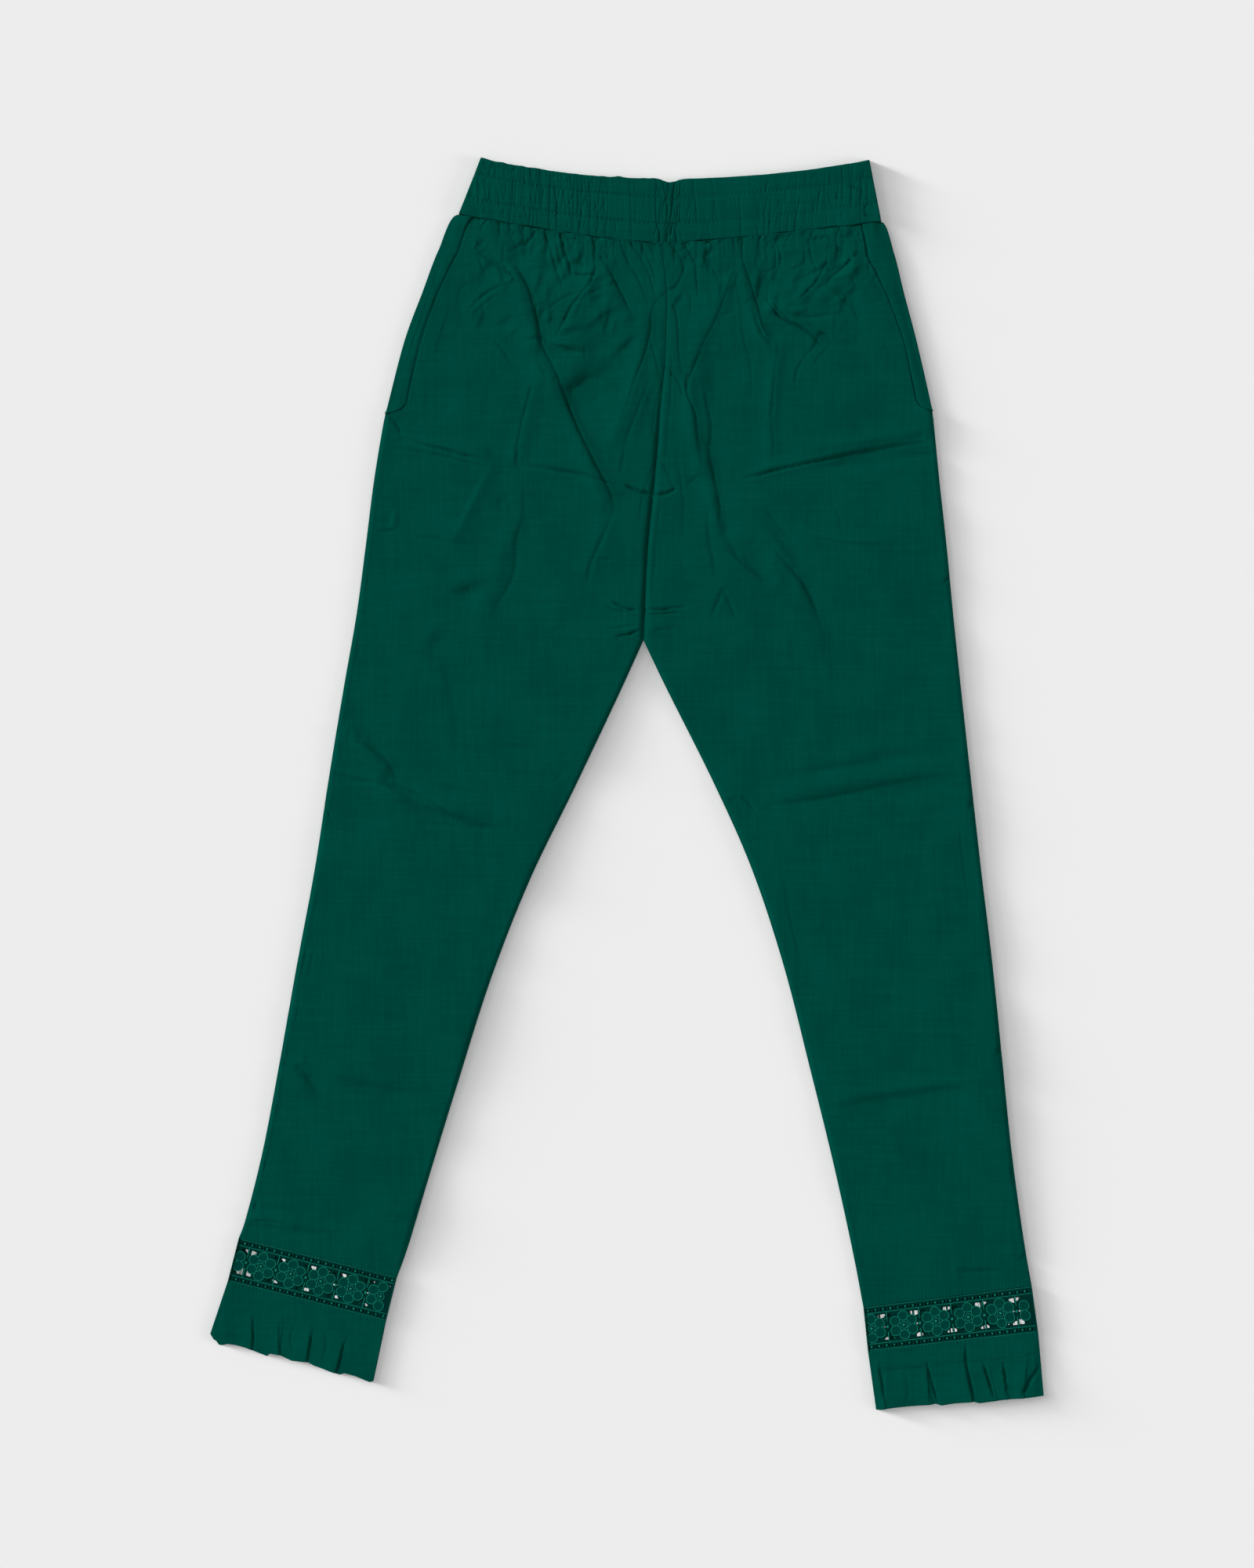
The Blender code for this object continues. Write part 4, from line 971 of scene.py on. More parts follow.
def band_plan(share, height):
    """Points of the waistband: share from the right end to the left, height from seam to top."""
    low, high = [between(edge.right, edge.left, share) for edge in (BAND_BOTTOM, BAND_TOP)]
    notch = NOTCH_DEPTH * bell((high[..., 0] - BAND_TOP.dip[0]) / NOTCH_WIDTH)
    low[..., 1] = sagging(BAND_BOTTOM, low[..., 0]) + GAP / 2
    high[..., 1] = sagging(BAND_TOP, high[..., 0]) - notch
    return low + (high - low) * height[..., None]


# Elastic casing: its fullness from the seam to the top, its feet, sizes, edge radii and stitch rows
CHANNEL_HEIGHTS = (0.0, 0.14, 0.29, 0.5, 0.72, 0.86, 1.0)
CHANNEL_FULLNESS = (0.84, 0.95, 0.84, 0.95, 0.84, 0.95, 0.84)
BAND_FEET = (BAND_FRONT_BASE - 0.15,) * 3
BAND_WIDE = 334.0
BAND_GRID = (700, 52)
BAND_BACK_GRID = (226, 22)
BAND_RADIUS = 1.1
BAND_BACK_RADIUS = 1.0
BAND_TALL = 48.0
STITCH_ROWS = (0.29, 0.72)
BAND_PUCKER = 0.18
# Share of the gather lines that run through all channels
THROUGH_SHARE = 0.3
# Stretches of gather lines in the casing: from and to along X, their spacing, depth and half width
GatherZone = namedtuple("GatherZone", "start end pitch depth width")
GATHER_ZONES = [
    GatherZone(-132, -62, 2.7, 0.5, 0.7),
    GatherZone(-62, -12, 2.3, 0.5, 0.65),
    GatherZone(-12, 24, 11.0, 0.3, 0.8),
    GatherZone(22, 45, 2.1, 0.8, 0.6),
    GatherZone(45, 64, 6.5, 0.4, 0.7),
    GatherZone(64, 100, 12.0, 0.3, 0.8),
    GatherZone(100, 198, 6.2, 0.5, 0.7),
]
BAND_CREASES = [
    Crease(0.5, 1.0, 0.3, 0.0, [(173, 472), (184, 468), (193, 461)]),
    Crease(0.6, 1.0, 0.3, 0.0, [(196, 460), (189, 457), (187, 452), (190, 448), (197, 447)]),
]


def gather_lines(x, up):
    """Narrow upright troughs of uneven depth, each channel between the stitch rows with its own."""
    rng = np.random.default_rng(21)
    total = np.zeros(up.shape)
    bounds = (-0.02, *STITCH_ROWS, 1.02)
    for low, high in zip(bounds, bounds[1:]):
        for zone in GATHER_ZONES:
            for index in range(int((zone.end - zone.start) / zone.pitch)):
                spot = zone.start + zone.pitch * (index + 0.5 + rng.uniform(-0.42, 0.42))
                depth = zone.depth * rng.uniform(0.4, 1.25)
                foot, head = (bounds[0], bounds[-1]) if rng.random() < THROUGH_SHARE else (low, high)
                width = zone.width * rng.uniform(0.8, 1.3)
                slant = rng.normal(0, 2.2)
                bend = rng.normal(0, 0.7)
                first = foot + (head - foot) * rng.choice((-0.1, -0.1, 0.2, 0.35))
                last = foot + (head - foot) * rng.choice((1.1, 1.1, 0.85, 0.6))
                near = np.abs(x - spot) < 6
                part = (up[near] - first) / (last - first)
                line = spot + slant * (part - 0.5) + bend * np.sin(part * math.pi)
                fade = ease(part / 0.25 + 0.1) * ease((1 - part) / 0.25 + 0.1)
                fade *= (up[near] > foot) & (up[near] < head)
                total[near] -= depth * fade * bell((x[near] - line) / width)
    return total


def band_front():
    """Front half of the elastic casing: gathers held by two stitch rows."""
    share, up = grid(*BAND_GRID)
    plan = drawn_in(band_plan(share, up), BAND_RADIUS)
    x = plan[..., 0]
    left = ease((60 - x) / 80)
    plan[..., 1] += 0.6 * ripple(x, 8, seed=64) * ease(1 - up / 0.2)
    uneven_top = 0.7 * ripple(x, 9, seed=160) + 0.35 * ripple(x, 4, seed=161)
    plan[..., 1] += uneven_top * at_least(0.25, left) * up**6
    fullness = np.interp(up, CHANNEL_HEIGHTS, CHANNEL_FULLNESS)
    broad = 0.36 * noise(x, up * 9, 6, seed=151) * at_least(0.4, left)
    broad += 0.35 * noise(x, up * BAND_TALL, 17, seed=150)
    broad -= 1.7 * ease((x - 23) / 21) * (1 - ease((x - 44) / 60))
    rows = sum(bell((up - row) * BAND_TALL) for row in STITCH_ROWS)
    pucker = rows * BAND_PUCKER * np.sin(x / 0.5 + 2 * ripple(x, 9, seed=162))
    ends = ease(np.minimum(share, 1 - share) * BAND_WIDE / 5)
    height = BAND_FRONT_BASE + BAND_WALL * fullness + 0.45 - (0.3 + 0.5 * left) * rows + pucker
    height += (gather_lines(x, up) + broad) * at_least(0.3, ends) + crease_height(plan, BAND_CREASES)
    return cloth_piece("waistband_front_cloth", plan, height, BAND_FEET, radius=BAND_RADIUS)


def band_back():
    """Back half of the elastic casing, gathered on the side that it rests on."""
    share, up = grid(*BAND_BACK_GRID)
    plan = drawn_in(band_plan(share, up), BAND_BACK_RADIUS)
    height = np.full(share.shape, BAND_WALL) - 0.02
    under = 0.6 * np.clip(noise(plan[..., 0], up * 9, 4, seed=92) + 0.2, 0, 1)
    under += 0.3 * sum(bell((up - row) * BAND_TALL / 1.6) for row in STITCH_ROWS)
    return cloth_piece("waistband_back_cloth", plan, height, FLAT_FEET, under, BAND_BACK_RADIUS)


def frill_plan(leg, top_share, hem_share, drop):
    """Points of a frill from shares along its top and its hem, and drop, 0 at the lace and 1 at the hem."""
    top = between(leg.lace_outer, leg.lace_inner, top_share)
    hem = between(leg.hem_outer, leg.hem_inner, hem_share)
    down = (hem - top) / length(hem - top)[..., None]
    start = top + down * GAP / 2
    edge = np.interp(hem_share, *zip(*leg.hem_edge))
    return start + (hem + down * edge[..., None] - start) * drop[..., None]


# Frills: columns and rows of the front and the back, edge radius, height, and how much of the pleats shows
FRILL_GRID = (235, 46)
FRILL_BACK_GRID = (58, 19)
FRILL_RADIUS = 0.6
FRILL_TALL = 45
PLEAT_SHARE = 0.62
# Share of the height where the tuck line runs
TUCK_LINE = 0.35
FRILL_CREASES = [
    Crease(0.9, 0.9, 0.3, 0.1, [(-296, -418), (-296, -432), (-296, -447)]),
    Crease(0.7, 0.9, 0.3, 0.1, [(-274.5, -424), (-275, -436), (-275, -450)]),
    Crease(1.2, 1.2, 0.4, 0.3, [(-249, -432), (-251, -443), (-254, -458)]),
    Crease(0.9, 1.0, 0.3, 0.2, [(-223.5, -439), (-226, -450), (-230, -466)]),
    Crease(0.3, 1.6, 0.3, 0.0, [(-262, -424), (-266, -437), (-264, -450)]),
    Crease(0.3, 1.8, 0.3, 0.0, [(-240, -430), (-238, -444), (-242, -456)]),
    Crease(1.3, 1.1, 0.5, 0.3, [(237, -457), (238.5, -474), (239.5, -491)]),
    Crease(1.0, 1.1, 0.4, 0.2, [(237, -458), (241, -474), (246.5, -491)]),
    Crease(2.0, 1.7, 0.9, 0.3, [(267.5, -444), (268, -459), (274, -489)]),
    Crease(2.0, 2.2, 0.8, 0.1, [(281, -457), (286, -472), (291.5, -488)]),
    Crease(1.7, 1.15, 0.5, 0.4, [(297, -457), (298.5, -470), (300.5, -487)]),
    Crease(1.7, 2.0, 1.0, 0.1, [(327, -458), (318, -471), (311, -484)]),
    Crease(1.2, 2.2, 0.6, 0.2, [(199, -458), (201, -472), (202.5, -488)]),
    Crease(0.3, 2.2, 0.3, 0.0, [(218, -462), (222, -476), (221, -489)]),
]


def frill_front(leg):
    """Front half of a hem frill, with knife pleats that fall sharply on one side and softly behind."""
    hem_width = math.dist(leg.hem_outer, leg.hem_inner)
    share, drop = grid(*FRILL_GRID)
    hems, tops = [[0] + [getattr(pleat, end) for pleat in leg.pleats] + [1] for end in ("hem", "top")]
    plan = drawn_in(frill_plan(leg, np.interp(share, hems, tops), share, drop), FRILL_RADIUS)
    x = plan[..., 0]
    y = plan[..., 1]
    total = np.zeros(share.shape)
    opening = ease((drop - 0.25) / 0.6)
    for pleat in leg.pleats:
        distance = (share - pleat.hem) * hem_width * -leg.way
        sharp = ease(1 - distance / (0.4 + 0.3 * opening))
        total += PLEAT_SHARE * pleat.height * sharp * bell(np.minimum(distance, 0) / pleat.soft) * opening
    edge = ease(np.minimum(share, 1 - share) * hem_width / 8)
    total = total * at_least(0.3, edge) + crease_height(plan, FRILL_CREASES)
    total += (0.35 * noise(x, y, 17, seed=8) + 0.15 * noise(x, y, 6, seed=9)) * edge
    total -= leg.tuck * bell((drop - TUCK_LINE) * FRILL_TALL / 0.8) * edge
    total += PUCKER * np.sin(x / 0.45 + ripple(x, 8, seed=10)) * np.exp(-drop * FRILL_TALL / 3)
    total += leg.frill_puff * edge * ease(drop / 0.3)
    height = np.maximum(FRONT_BASE + CLOTH + total, FRONT_FOOT + SHELL)
    return cloth_piece(f"frill_{leg.side}_front_cloth", plan, height, FRONT_FEET, radius=FRILL_RADIUS)


def frill_back(leg):
    """Back half of a hem frill, with shallow pleats on the side that it rests on."""
    share, drop = grid(*FRILL_BACK_GRID)
    height = np.full(share.shape, CLOTH - 0.04)
    plan = drawn_in(frill_plan(leg, share, share, drop), BACK_RADIUS)
    under = BACK_HOLLOW * np.clip(1.6 * noise(plan[..., 0], drop * 6, 9, seed=93), 0, 1) * ease(drop / 0.5)
    return cloth_piece(f"frill_{leg.side}_back_cloth", plan, height, FLAT_FEET, under, BACK_RADIUS)


# Linear colours, and how far the yarns drift from them
CLOTH_GREEN = (0.0, 0.081, 0.0590)
LACE_GREEN = (0.01, 0.25, 0.175)
PETAL_GREEN = (0.0, 0.066, 0.050)
# The net's green is darker than the lace's own: painted shade for the shadowed back layer seen through the
# lace
NET_GREEN_AND_PAINTED_SHADE = (0.0, 0.036, 0.028)
THREAD_GREEN = (0.001, 0.122, 0.092)
YARN_DRIFT = 0.42
# Sockets of the fabric's shader that nothing is linked to
FABRIC = {
    "Roughness": 0.9,
    "Specular IOR Level": 0.0,
    "Sheen Weight": 0.12,
    "Sheen Roughness": 0.45,
    "Sheen Tint": (0.0, 0.55, 0.45, 1),
}


def node(tree, kind, inputs, **settings):
    """New shader node: its settings, then its inputs as values or as the sockets that feed them."""
    made = tree.nodes.new(kind)
    for name, value in settings.items():
        setattr(made, name, value)
    for name, value in inputs.items():
        if isinstance(value, bpy.types.NodeSocket):
            tree.links.new(value, made.inputs[name])
        else:
            made.inputs[name].default_value = value
    return made


def painted(name, values):
    """New material with values for some sockets of its shader."""
    material = bpy.data.materials.new(name)
    material.use_nodes = True
    for socket, value in values.items():
        material.node_tree.nodes["Principled BSDF"].inputs[socket].default_value = value
    return material


def fabric(name, colour, weave=0.5):
    """Plain-woven cotton: threads and slubs in its bump, lighter and darker yarn in its colour."""
    material = painted(name, FABRIC)
    tree = material.node_tree
    shader = tree.nodes["Principled BSDF"]
    place = node(tree, "ShaderNodeTexCoord", {}).outputs["Object"]

    def streaks(scale, detail, stretch):
        spread = node(tree, "ShaderNodeMapping", {"Vector": place, "Scale": stretch}).outputs["Vector"]
        inputs = {"Vector": spread, "Scale": scale, "Detail": detail}
        return node(tree, "ShaderNodeTexNoise", inputs).outputs["Fac"]

    def worked_out(operation, first, second):
        return node(tree, "ShaderNodeMath", {0: first, 1: second}, operation=operation).outputs["Value"]

    def threads(direction):
        inputs = {"Vector": place, "Scale": 620, "Distortion": 1.5, "Detail": 1}
        return node(tree, "ShaderNodeTexWave", inputs, bands_direction=direction).outputs["Fac"]

    yarn = worked_out("ADD", streaks(420, 2, (1, 0.06, 1)), streaks(420, 2, (0.06, 1, 1)))
    factor = worked_out("MULTIPLY", worked_out("ADD", yarn, streaks(24, 4, (1, 1, 1))), 1 / 3)
    dark, light = [(*[part * (1 + way * YARN_DRIFT) for part in colour], 1) for way in (-1, 1)]
    mix = node(tree, "ShaderNodeMix", {"Factor": factor, "A": dark, "B": light}, data_type="RGBA")
    tree.links.new(mix.outputs["Result"], shader.inputs["Base Color"])
    weaving = worked_out("MAXIMUM", threads("X"), threads("Y"))
    fine = {"Strength": weave, "Distance": 0.10 * MM, "Height": weaving}
    normal = node(tree, "ShaderNodeBump", fine).outputs["Normal"]
    slubs = {"Strength": 0.6, "Distance": 0.12 * MM, "Height": yarn, "Normal": normal}
    tree.links.new(node(tree, "ShaderNodeBump", slubs).outputs["Normal"], shader.inputs["Normal"])
    return material


def dress(obj, solid, slot, *materials):
    """Gives a piece its materials and its place in the frame, and hides the solid that it stands for."""
    for material in materials:
        obj.data.materials.append(material)
    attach(obj, "root")
    if solid:
        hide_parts(solid)
    return obj


# Lace: band, gaps and the bars between them, flowers, ladder borders, thickness of cord and net
LACE_HEIGHT = 35.0
LACE_MIDDLE = LACE_HEIGHT / 2
GAP_FOOT = 7.0
GAP_TALL = 4.4
GAP_HALF = 5.2
GAP_BELLY = 5.7
GAP_HEAD = 3.4
WIDEST_GAP = 1.3
FIRST_BACK_GAP_SHIFT = 3.8
BAR_HALF = 0.8
LACE_RIM = 2.0
PETALS = 6
PETAL_PLACE = 7.7
PETAL_RADIUS = 3.95
EYE_RADIUS = 2.7
LADDER = 5.5
LADDER_PITCH = 6.0
CORD = 0.3
NET_WALL = 0.45
PETAL_WALL = 0.4 * NET_WALL
# Pinholes around a flower's centre, and the outline of a ladder's hole beside its rung
PINHOLE_SPOTS = ((-5.2, 9.3), (5.2, 9.3), (-5.2, -9.3), (5.2, -9.3), (-10.6, 0), (10.6, 0))
LADDER_HOLE = ((0.7, 0.7), (1.6, 0.6), (1.9, 1.5), (1.6, 2.4), (0.7, 2.2))
# Border lines of a lace band: their height over its foot, and their thickness in cords
BORDERS = ((0.1, 0.8), (LADDER - 0.5, 0.9), (LACE_HEIGHT - LADDER + 0.5, 0.9), (LACE_HEIGHT - 0.1, 0.8))


def lace_width(leg):
    """Width of a leg's lace band."""
    return math.dist(leg.lace_outer, leg.lace_inner)


def lace_plan(leg, x, y):
    """Plan points of a lace band from millimetres along it and up from its foot."""
    share = x / lace_width(leg)
    last = leg.rows[-1]
    foot = between(leg.lace_outer, leg.lace_inner, share)
    head = between((last.outer_x, last.outer_y), (last.inner_x, last.inner_y), share)
    clear = (head - foot) / length(head - foot)[..., None] * GAP
    low = foot + clear / 2
    return low + (head - clear - low) * y[..., None] / LACE_HEIGHT


def on_lace(leg, spots, z):
    """Points in space over places along and up a lace band."""
    plan = lace_plan(leg, *np.array(spots, float).T)
    return np.column_stack([plan, np.full(len(plan), z)])


def gap_middles(leg, which):
    """Places along the band between the flowers; the back's drift from the front's, so few gaps align."""
    front = which == "front"
    pitch = leg.pitch * (1 if front else leg.back_stretch)
    first = leg.first_gap + (0.0 if front else leg.back_shift)
    middles = np.arange(first, lace_width(leg) + pitch / 2, pitch)
    if leg.side == "right" and not front:
        middles[0] -= FIRST_BACK_GAP_SHIFT
    return middles


def flower_centres(leg, which):
    """Places of the flowers, halfway between the gaps."""
    middles = gap_middles(leg, which)
    half = (middles[1] - middles[0]) / 2
    places = [middles[0] - half, *(middles + half)]
    return [place for place in places if -PETAL_PLACE < place < lace_width(leg) + PETAL_PLACE]


def gap_loops(leg, which):
    """Uneven gaps in pairs between the flowers, in millimetres along and up the band."""
    rng = np.random.default_rng(len(leg.side + which))
    loops = []
    for middle in gap_middles(leg, which):
        for low, tall in ((GAP_FOOT, GAP_TALL), (LACE_HEIGHT - GAP_FOOT, -GAP_TALL)):
            for way in (-1, 1):
                side = [(GAP_HALF, 0), (GAP_BELLY, tall / 3), (GAP_HEAD, 0.8 * tall)]
                shape = [(BAR_HALF, 0), *side, (BAR_HALF, tall)]
                wide = (1.08 if way * tall < 0 else 0.78) * rng.uniform(0.72, 1.2)
                if leg.side == "right" and middle < leg.pitch:
                    wide = min(WIDEST_GAP, WIDEST_GAP * wide)
                loop = [
                    (middle + way * x * wide, low + y * wide + rng.uniform(-0.3, 0.3)) for x, y in shape
                ]
                sides = [x for x, y in loop]
                if LACE_RIM < min(sides) and max(sides) < lace_width(leg) - LACE_RIM:
                    loops.append(loop)
    return loops


def pinholes(leg):
    """Small openings between the petals that pass through both layers."""
    rng = np.random.default_rng(31 + leg.number)
    gaps = [np.array(loop) for which in ("front", "back") for loop in gap_loops(leg, which)]
    loops = []
    for centre in flower_centres(leg, "front"):
        for x, y in PINHOLE_SPOTS:
            spot = np.array((centre + x, LACE_MIDDLE + y))
            size = rng.uniform(0.5, 0.95)
            angles = rng.uniform(0, 6) + round_turns(5)
            loop = spot + size * circle(angles) * rng.uniform(0.7, 1.2, (5, 1))
            clear = all(np.abs(gap.mean(axis=0) - spot).max() > 4.2 for gap in gaps)
            if rng.random() < 0.45 and clear and 3 < spot[0] < lace_width(leg) - 3:
                loops.append(loop)
    return loops


def ladder_loops(leg):
    """Small holes in pairs along both borders."""
    width = lace_width(leg)
    loops = []
    for foot in (1.1, LACE_HEIGHT - LADDER + 1.1):
        for middle in np.arange(LADDER_PITCH / 2, width - 2, LADDER_PITCH):
            for way in (-1, 1):
                loop = [(middle + way * x, foot + y) for x, y in LADDER_HOLE]
                if 1.2 < min(x for x, y in loop) and max(x for x, y in loop) < width - 1.2:
                    loops.append(loop)
    return loops


def net_plate(name, leg, which, bottom):
    """Fine net ground of a lace band, cut through at its gaps."""
    width = lace_width(leg)
    curve = bpy.data.curves.new(name, "CURVE")
    curve.dimensions = "2D"
    curve.fill_mode = "BOTH"
    curve.extrude = NET_WALL / 2 * MM
    outline = [(0, 0), (width, 0), (width, LACE_HEIGHT), (0, LACE_HEIGHT)]
    ladders = ladder_loops(leg) if which == "front" else []
    for loop in [outline, *gap_loops(leg, which), *pinholes(leg), *ladders]:
        spline = curve.splines.new("POLY")
        spline.points.add(len(loop) - 1)
        for point, (x, y) in zip(spline.points, lace_plan(leg, *np.array(loop, float).T)):
            point.co = (x * MM, y * MM, 0, 1)
        spline.use_cyclic_u = True
    shape = linked(name, curve)
    shape.location.z = (bottom + NET_WALL / 2) * MM
    bpy.context.view_layer.update()
    data = bpy.data.meshes.new_from_object(shape.evaluated_get(bpy.context.evaluated_depsgraph_get()))
    data.transform(shape.matrix_world)
    bpy.data.objects.remove(shape)
    return linked(f"{name}_net", data)


def circle(angles):
    """Points of a circle of radius 1 in the plan."""
    return np.stack([np.cos(angles), np.sin(angles)], -1)


def round_turns(count):
    """Angles of so many points spread evenly round a circle."""
    return 2 * math.pi * np.arange(count) / count


def tube(points, radius, closed=False, sides=6, flat=0.8):
    """Vertices and faces of a cord along points in millimetres."""
    count = len(points)
    ways = np.roll(points, -1, 0) - np.roll(points, 1, 0) if closed else np.gradient(points, axis=0)
    ways /= np.maximum(length(ways), 1e-9)[:, None]
    side = np.stack([-ways[:, 1], ways[:, 0], 0 * ways[:, 0]], 1)
    side /= np.maximum(length(side), 1e-9)[:, None]
    up = np.array((0, 0, 1.0))
    rings = [points + radius * (side * x + up * flat * y) for x, y in circle(round_turns(sides))]
    faces = []
    for i in range(count if closed else count - 1):
        near = i * sides
        far = (i + 1) % count * sides
        for k in range(sides):
            after = (k + 1) % sides
            faces.append((near + k, near + after, far + after, far + k))
    if not closed:
        faces += [range(sides)[::-1], range((count - 1) * sides, count * sides)]
    return np.stack(rings, 1).reshape(-1, 3), faces


def knot(centre, radius, sides=8, flat=0.6):
    """Vertices and faces of a small flattened ball."""
    rings = ((-0.8, 0.6), (0.0, 1.0), (0.8, 0.6))
    points = [(0, 0, -flat)]
    for rise, wide in rings:
        points += [(x * wide, y * wide, flat * rise) for x, y in circle(round_turns(sides))]
    points.append((0, 0, flat))
    last = 1 + (len(rings) - 1) * sides
    faces = []
    for k in range(sides):
        after = (k + 1) % sides
        faces += [(0, 1 + after, 1 + k), (last + k, last + after, last + sides)]
        for ring in range(1, last, sides):
            faces.append((ring + k, ring + after, ring + sides + after, ring + sides + k))
    return centre + radius * np.array(points), faces


def disc(hub, rim, wall):
    """Vertices and faces of a thin filled petal."""
    low = np.array((0, 0, wall))
    count = len(rim)
    faces = []
    for k in range(count):
        after = (k + 1) % count
        faces += [(0, 1 + k, 1 + after), (1 + k, 1 + count + k, 1 + count + after, 1 + after)]
        faces.append((1 + 2 * count, 1 + count + after, 1 + count + k))
    return np.concatenate([hub, rim, rim - low, hub - low]), faces


def joined(name, parts):
    """One object from many small (vertices, faces) parts, each of them closed."""
    faces = []
    start = 0
    for vertices, loops in parts:
        faces += [[vertex + start for vertex in loop] for loop in loops]
        start += len(vertices)
    return piece(name, np.concatenate([vertices for vertices, loops in parts]), faces)


def lace_cords(leg, which, z):
    """Cords and knots of a lace band, then its petals and threads: flowers, ladder borders and bars."""
    width = lace_width(leg)
    cords = []
    petals = []
    rng = np.random.default_rng(5 + leg.number)

    def inside(x, margin):
        return margin < x < width - margin

    def place(spots, rise):
        return on_lace(leg, spots, z + rise)

    def cord(spots, rise, radius, closed=False, sides=6):
        return tube(place(spots, rise), radius, closed, sides)

    def upright(x, low, tall):
        return [(x, low), (x, low + tall / 2), (x, low + tall)]

    def knot_at(x, y, rise, radius):
        return knot(place([(x, y)], rise)[0], radius)

    for centre in flower_centres(leg, which):
        for hub in (centre, LACE_MIDDLE) + PETAL_PLACE * circle(math.pi / 2 + round_turns(PETALS)):
            if not inside(hub[0], PETAL_RADIUS - 0.8):
                continue
            angles = round_turns(18)
            uneven = 1 + 0.04 * rng.uniform(-1, 1) + 0.035 * np.cos(3 * angles + rng.uniform(0, 6))
            rim = hub + (PETAL_RADIUS * uneven)[:, None] * circle(angles)
            rim[:, 0] = np.clip(rim[:, 0], 0.3, width - 0.3)
            cords.append(cord(rim, 0.12, CORD, True))
            petals.append(disc(place([hub], 0.02), place(rim, 0.04), PETAL_WALL))
        if inside(centre, EYE_RADIUS):
            eye = (centre, LACE_MIDDLE) + EYE_RADIUS * circle(round_turns(16))
            cords += [cord(eye, 0.14, CORD, True), knot_at(centre, LACE_MIDDLE, 0.2, 1.3)]
    for line, bold in BORDERS:
        x = np.linspace(0.3, width - 0.3, 90)
        cords.append(cord(np.stack([x, line + 0.12 * np.sin(x * 2.1)], 1), 0.05, CORD * bold))
    for foot in (0.45, LACE_HEIGHT - LADDER + 0.5):
        for middle in np.arange(LADDER_PITCH / 2, width - 1, LADDER_PITCH):
            for x, bold in ((middle, 0.9), (middle + LADDER_PITCH / 2, 1.2)):
                if inside(x, 0.8):
                    petals.append(cord(upright(x, foot, LADDER - 1), 0, CORD * bold))
            if inside(x, 1.6):
                cords.append(knot_at(x, foot + (LADDER - 1) / 2, 0.15, 0.8 + 0.15 * rng.uniform(-1, 1)))
    for gap in gap_middles(leg, which):
        if inside(gap, 1):
            for low, tall in ((LADDER - 0.5, 8.5), (LACE_HEIGHT - LADDER + 0.5, -8.5)):
                cords.append(cord(upright(gap, low, tall), 0, CORD * 1.1))
        if inside(gap, 2):
            cords.append(knot_at(gap, LACE_MIDDLE, 0.1, 1.2))
        for x in gap + rng.uniform(-5, 5, 3):
            low = GAP_FOOT - 1.5 if rng.random() < 0.5 else LACE_HEIGHT - GAP_FOOT - GAP_TALL
            if inside(x, 3):
                petals.append(cord([(x, low), (x + 0.4, low + 3), (x + 0.2, low + 6)], -0.1, 0.16, sides=4))
    return cords, petals


def lace_half(leg, which):
    """Lace of one half of a leg: its net ground, and the raised cords and petals worked on it."""
    bottom = FRONT_BASE + 0.1 if which == "front" else 0.0
    name = f"lace_{leg.side}_{which}"
    cords, petals = lace_cords(leg, which, bottom + NET_WALL)
    worked = joined(f"{name}_cords", cords + petals)
    cord_faces = sum(len(loops) for vertices, loops in cords)
    is_petal = np.arange(len(worked.data.polygons)) >= cord_faces
    worked.data.polygons.foreach_set("material_index", is_petal.astype(np.int32))
    worked.data.polygons.foreach_set("use_smooth", ~is_petal)
    return net_plate(name, leg, which, bottom), worked


def lace_sides(leg):
    """Narrow rolled seams at both sides of the lace, which join its halves."""
    parts = []
    for x in (0.5, lace_width(leg) - 0.5):
        for z in (0.6, 1.6, 2.5):
            spots = [(x, y) for y in np.linspace(-0.4, LACE_HEIGHT + 0.4, 24)]
            parts.append(tube(on_lace(leg, spots, z), 0.45, flat=1.6))
    return joined(f"side_seams_{leg.side}", parts)


# Heights of a stitch's points over the cloth, and the share left free at a row's ends and beside the mouth
STITCH_RISE = np.array((-0.14, 0.12, 0.12, -0.14))
FIRST_SHARE = 0.012
StitchRow = namedtuple("StitchRow", "line long space radius")


def stitches(name, cloth, rows):
    """Small raised stitches on a cloth piece, in rows along lines in the plan."""
    points = [vertex.co for vertex in cloth.data.vertices]
    tree = KDTree(len(points))
    for index, point in enumerate(points):
        tree.insert((point.x, point.y, 0), index)
    tree.balance()
    parts = []
    for line, long, space, radius in rows:
        way = np.concatenate([[0], np.cumsum(length(np.diff(line, axis=0)))])
        start = space
        while start + long < way[-1]:
            spots = start + np.linspace(0, long, 4)
            plan = [np.interp(spots, way, line[:, axis]) for axis in (0, 1)]
            found = [tree.find_n((x * MM, y * MM, 0), 4) for x, y in zip(*plan)]
            tops = np.array([max(points[index].z / MM for _, index, _ in near) for near in found])
            parts.append(tube(np.column_stack([*plan, tops + STITCH_RISE]), radius, sides=5))
            start += long + space
    return joined(name, parts)


def band_stitches(band):
    """Two rows of stitches through the front of the elastic casing."""
    share = np.linspace(FIRST_SHARE, 1 - FIRST_SHARE, 300)
    lines = [band_plan(share, np.full(300, height)) for height in STITCH_ROWS]
    rows = [StitchRow(line, long=2.3, space=1.0, radius=0.26) for line in lines]
    return stitches("waistband_stitches", band, rows)


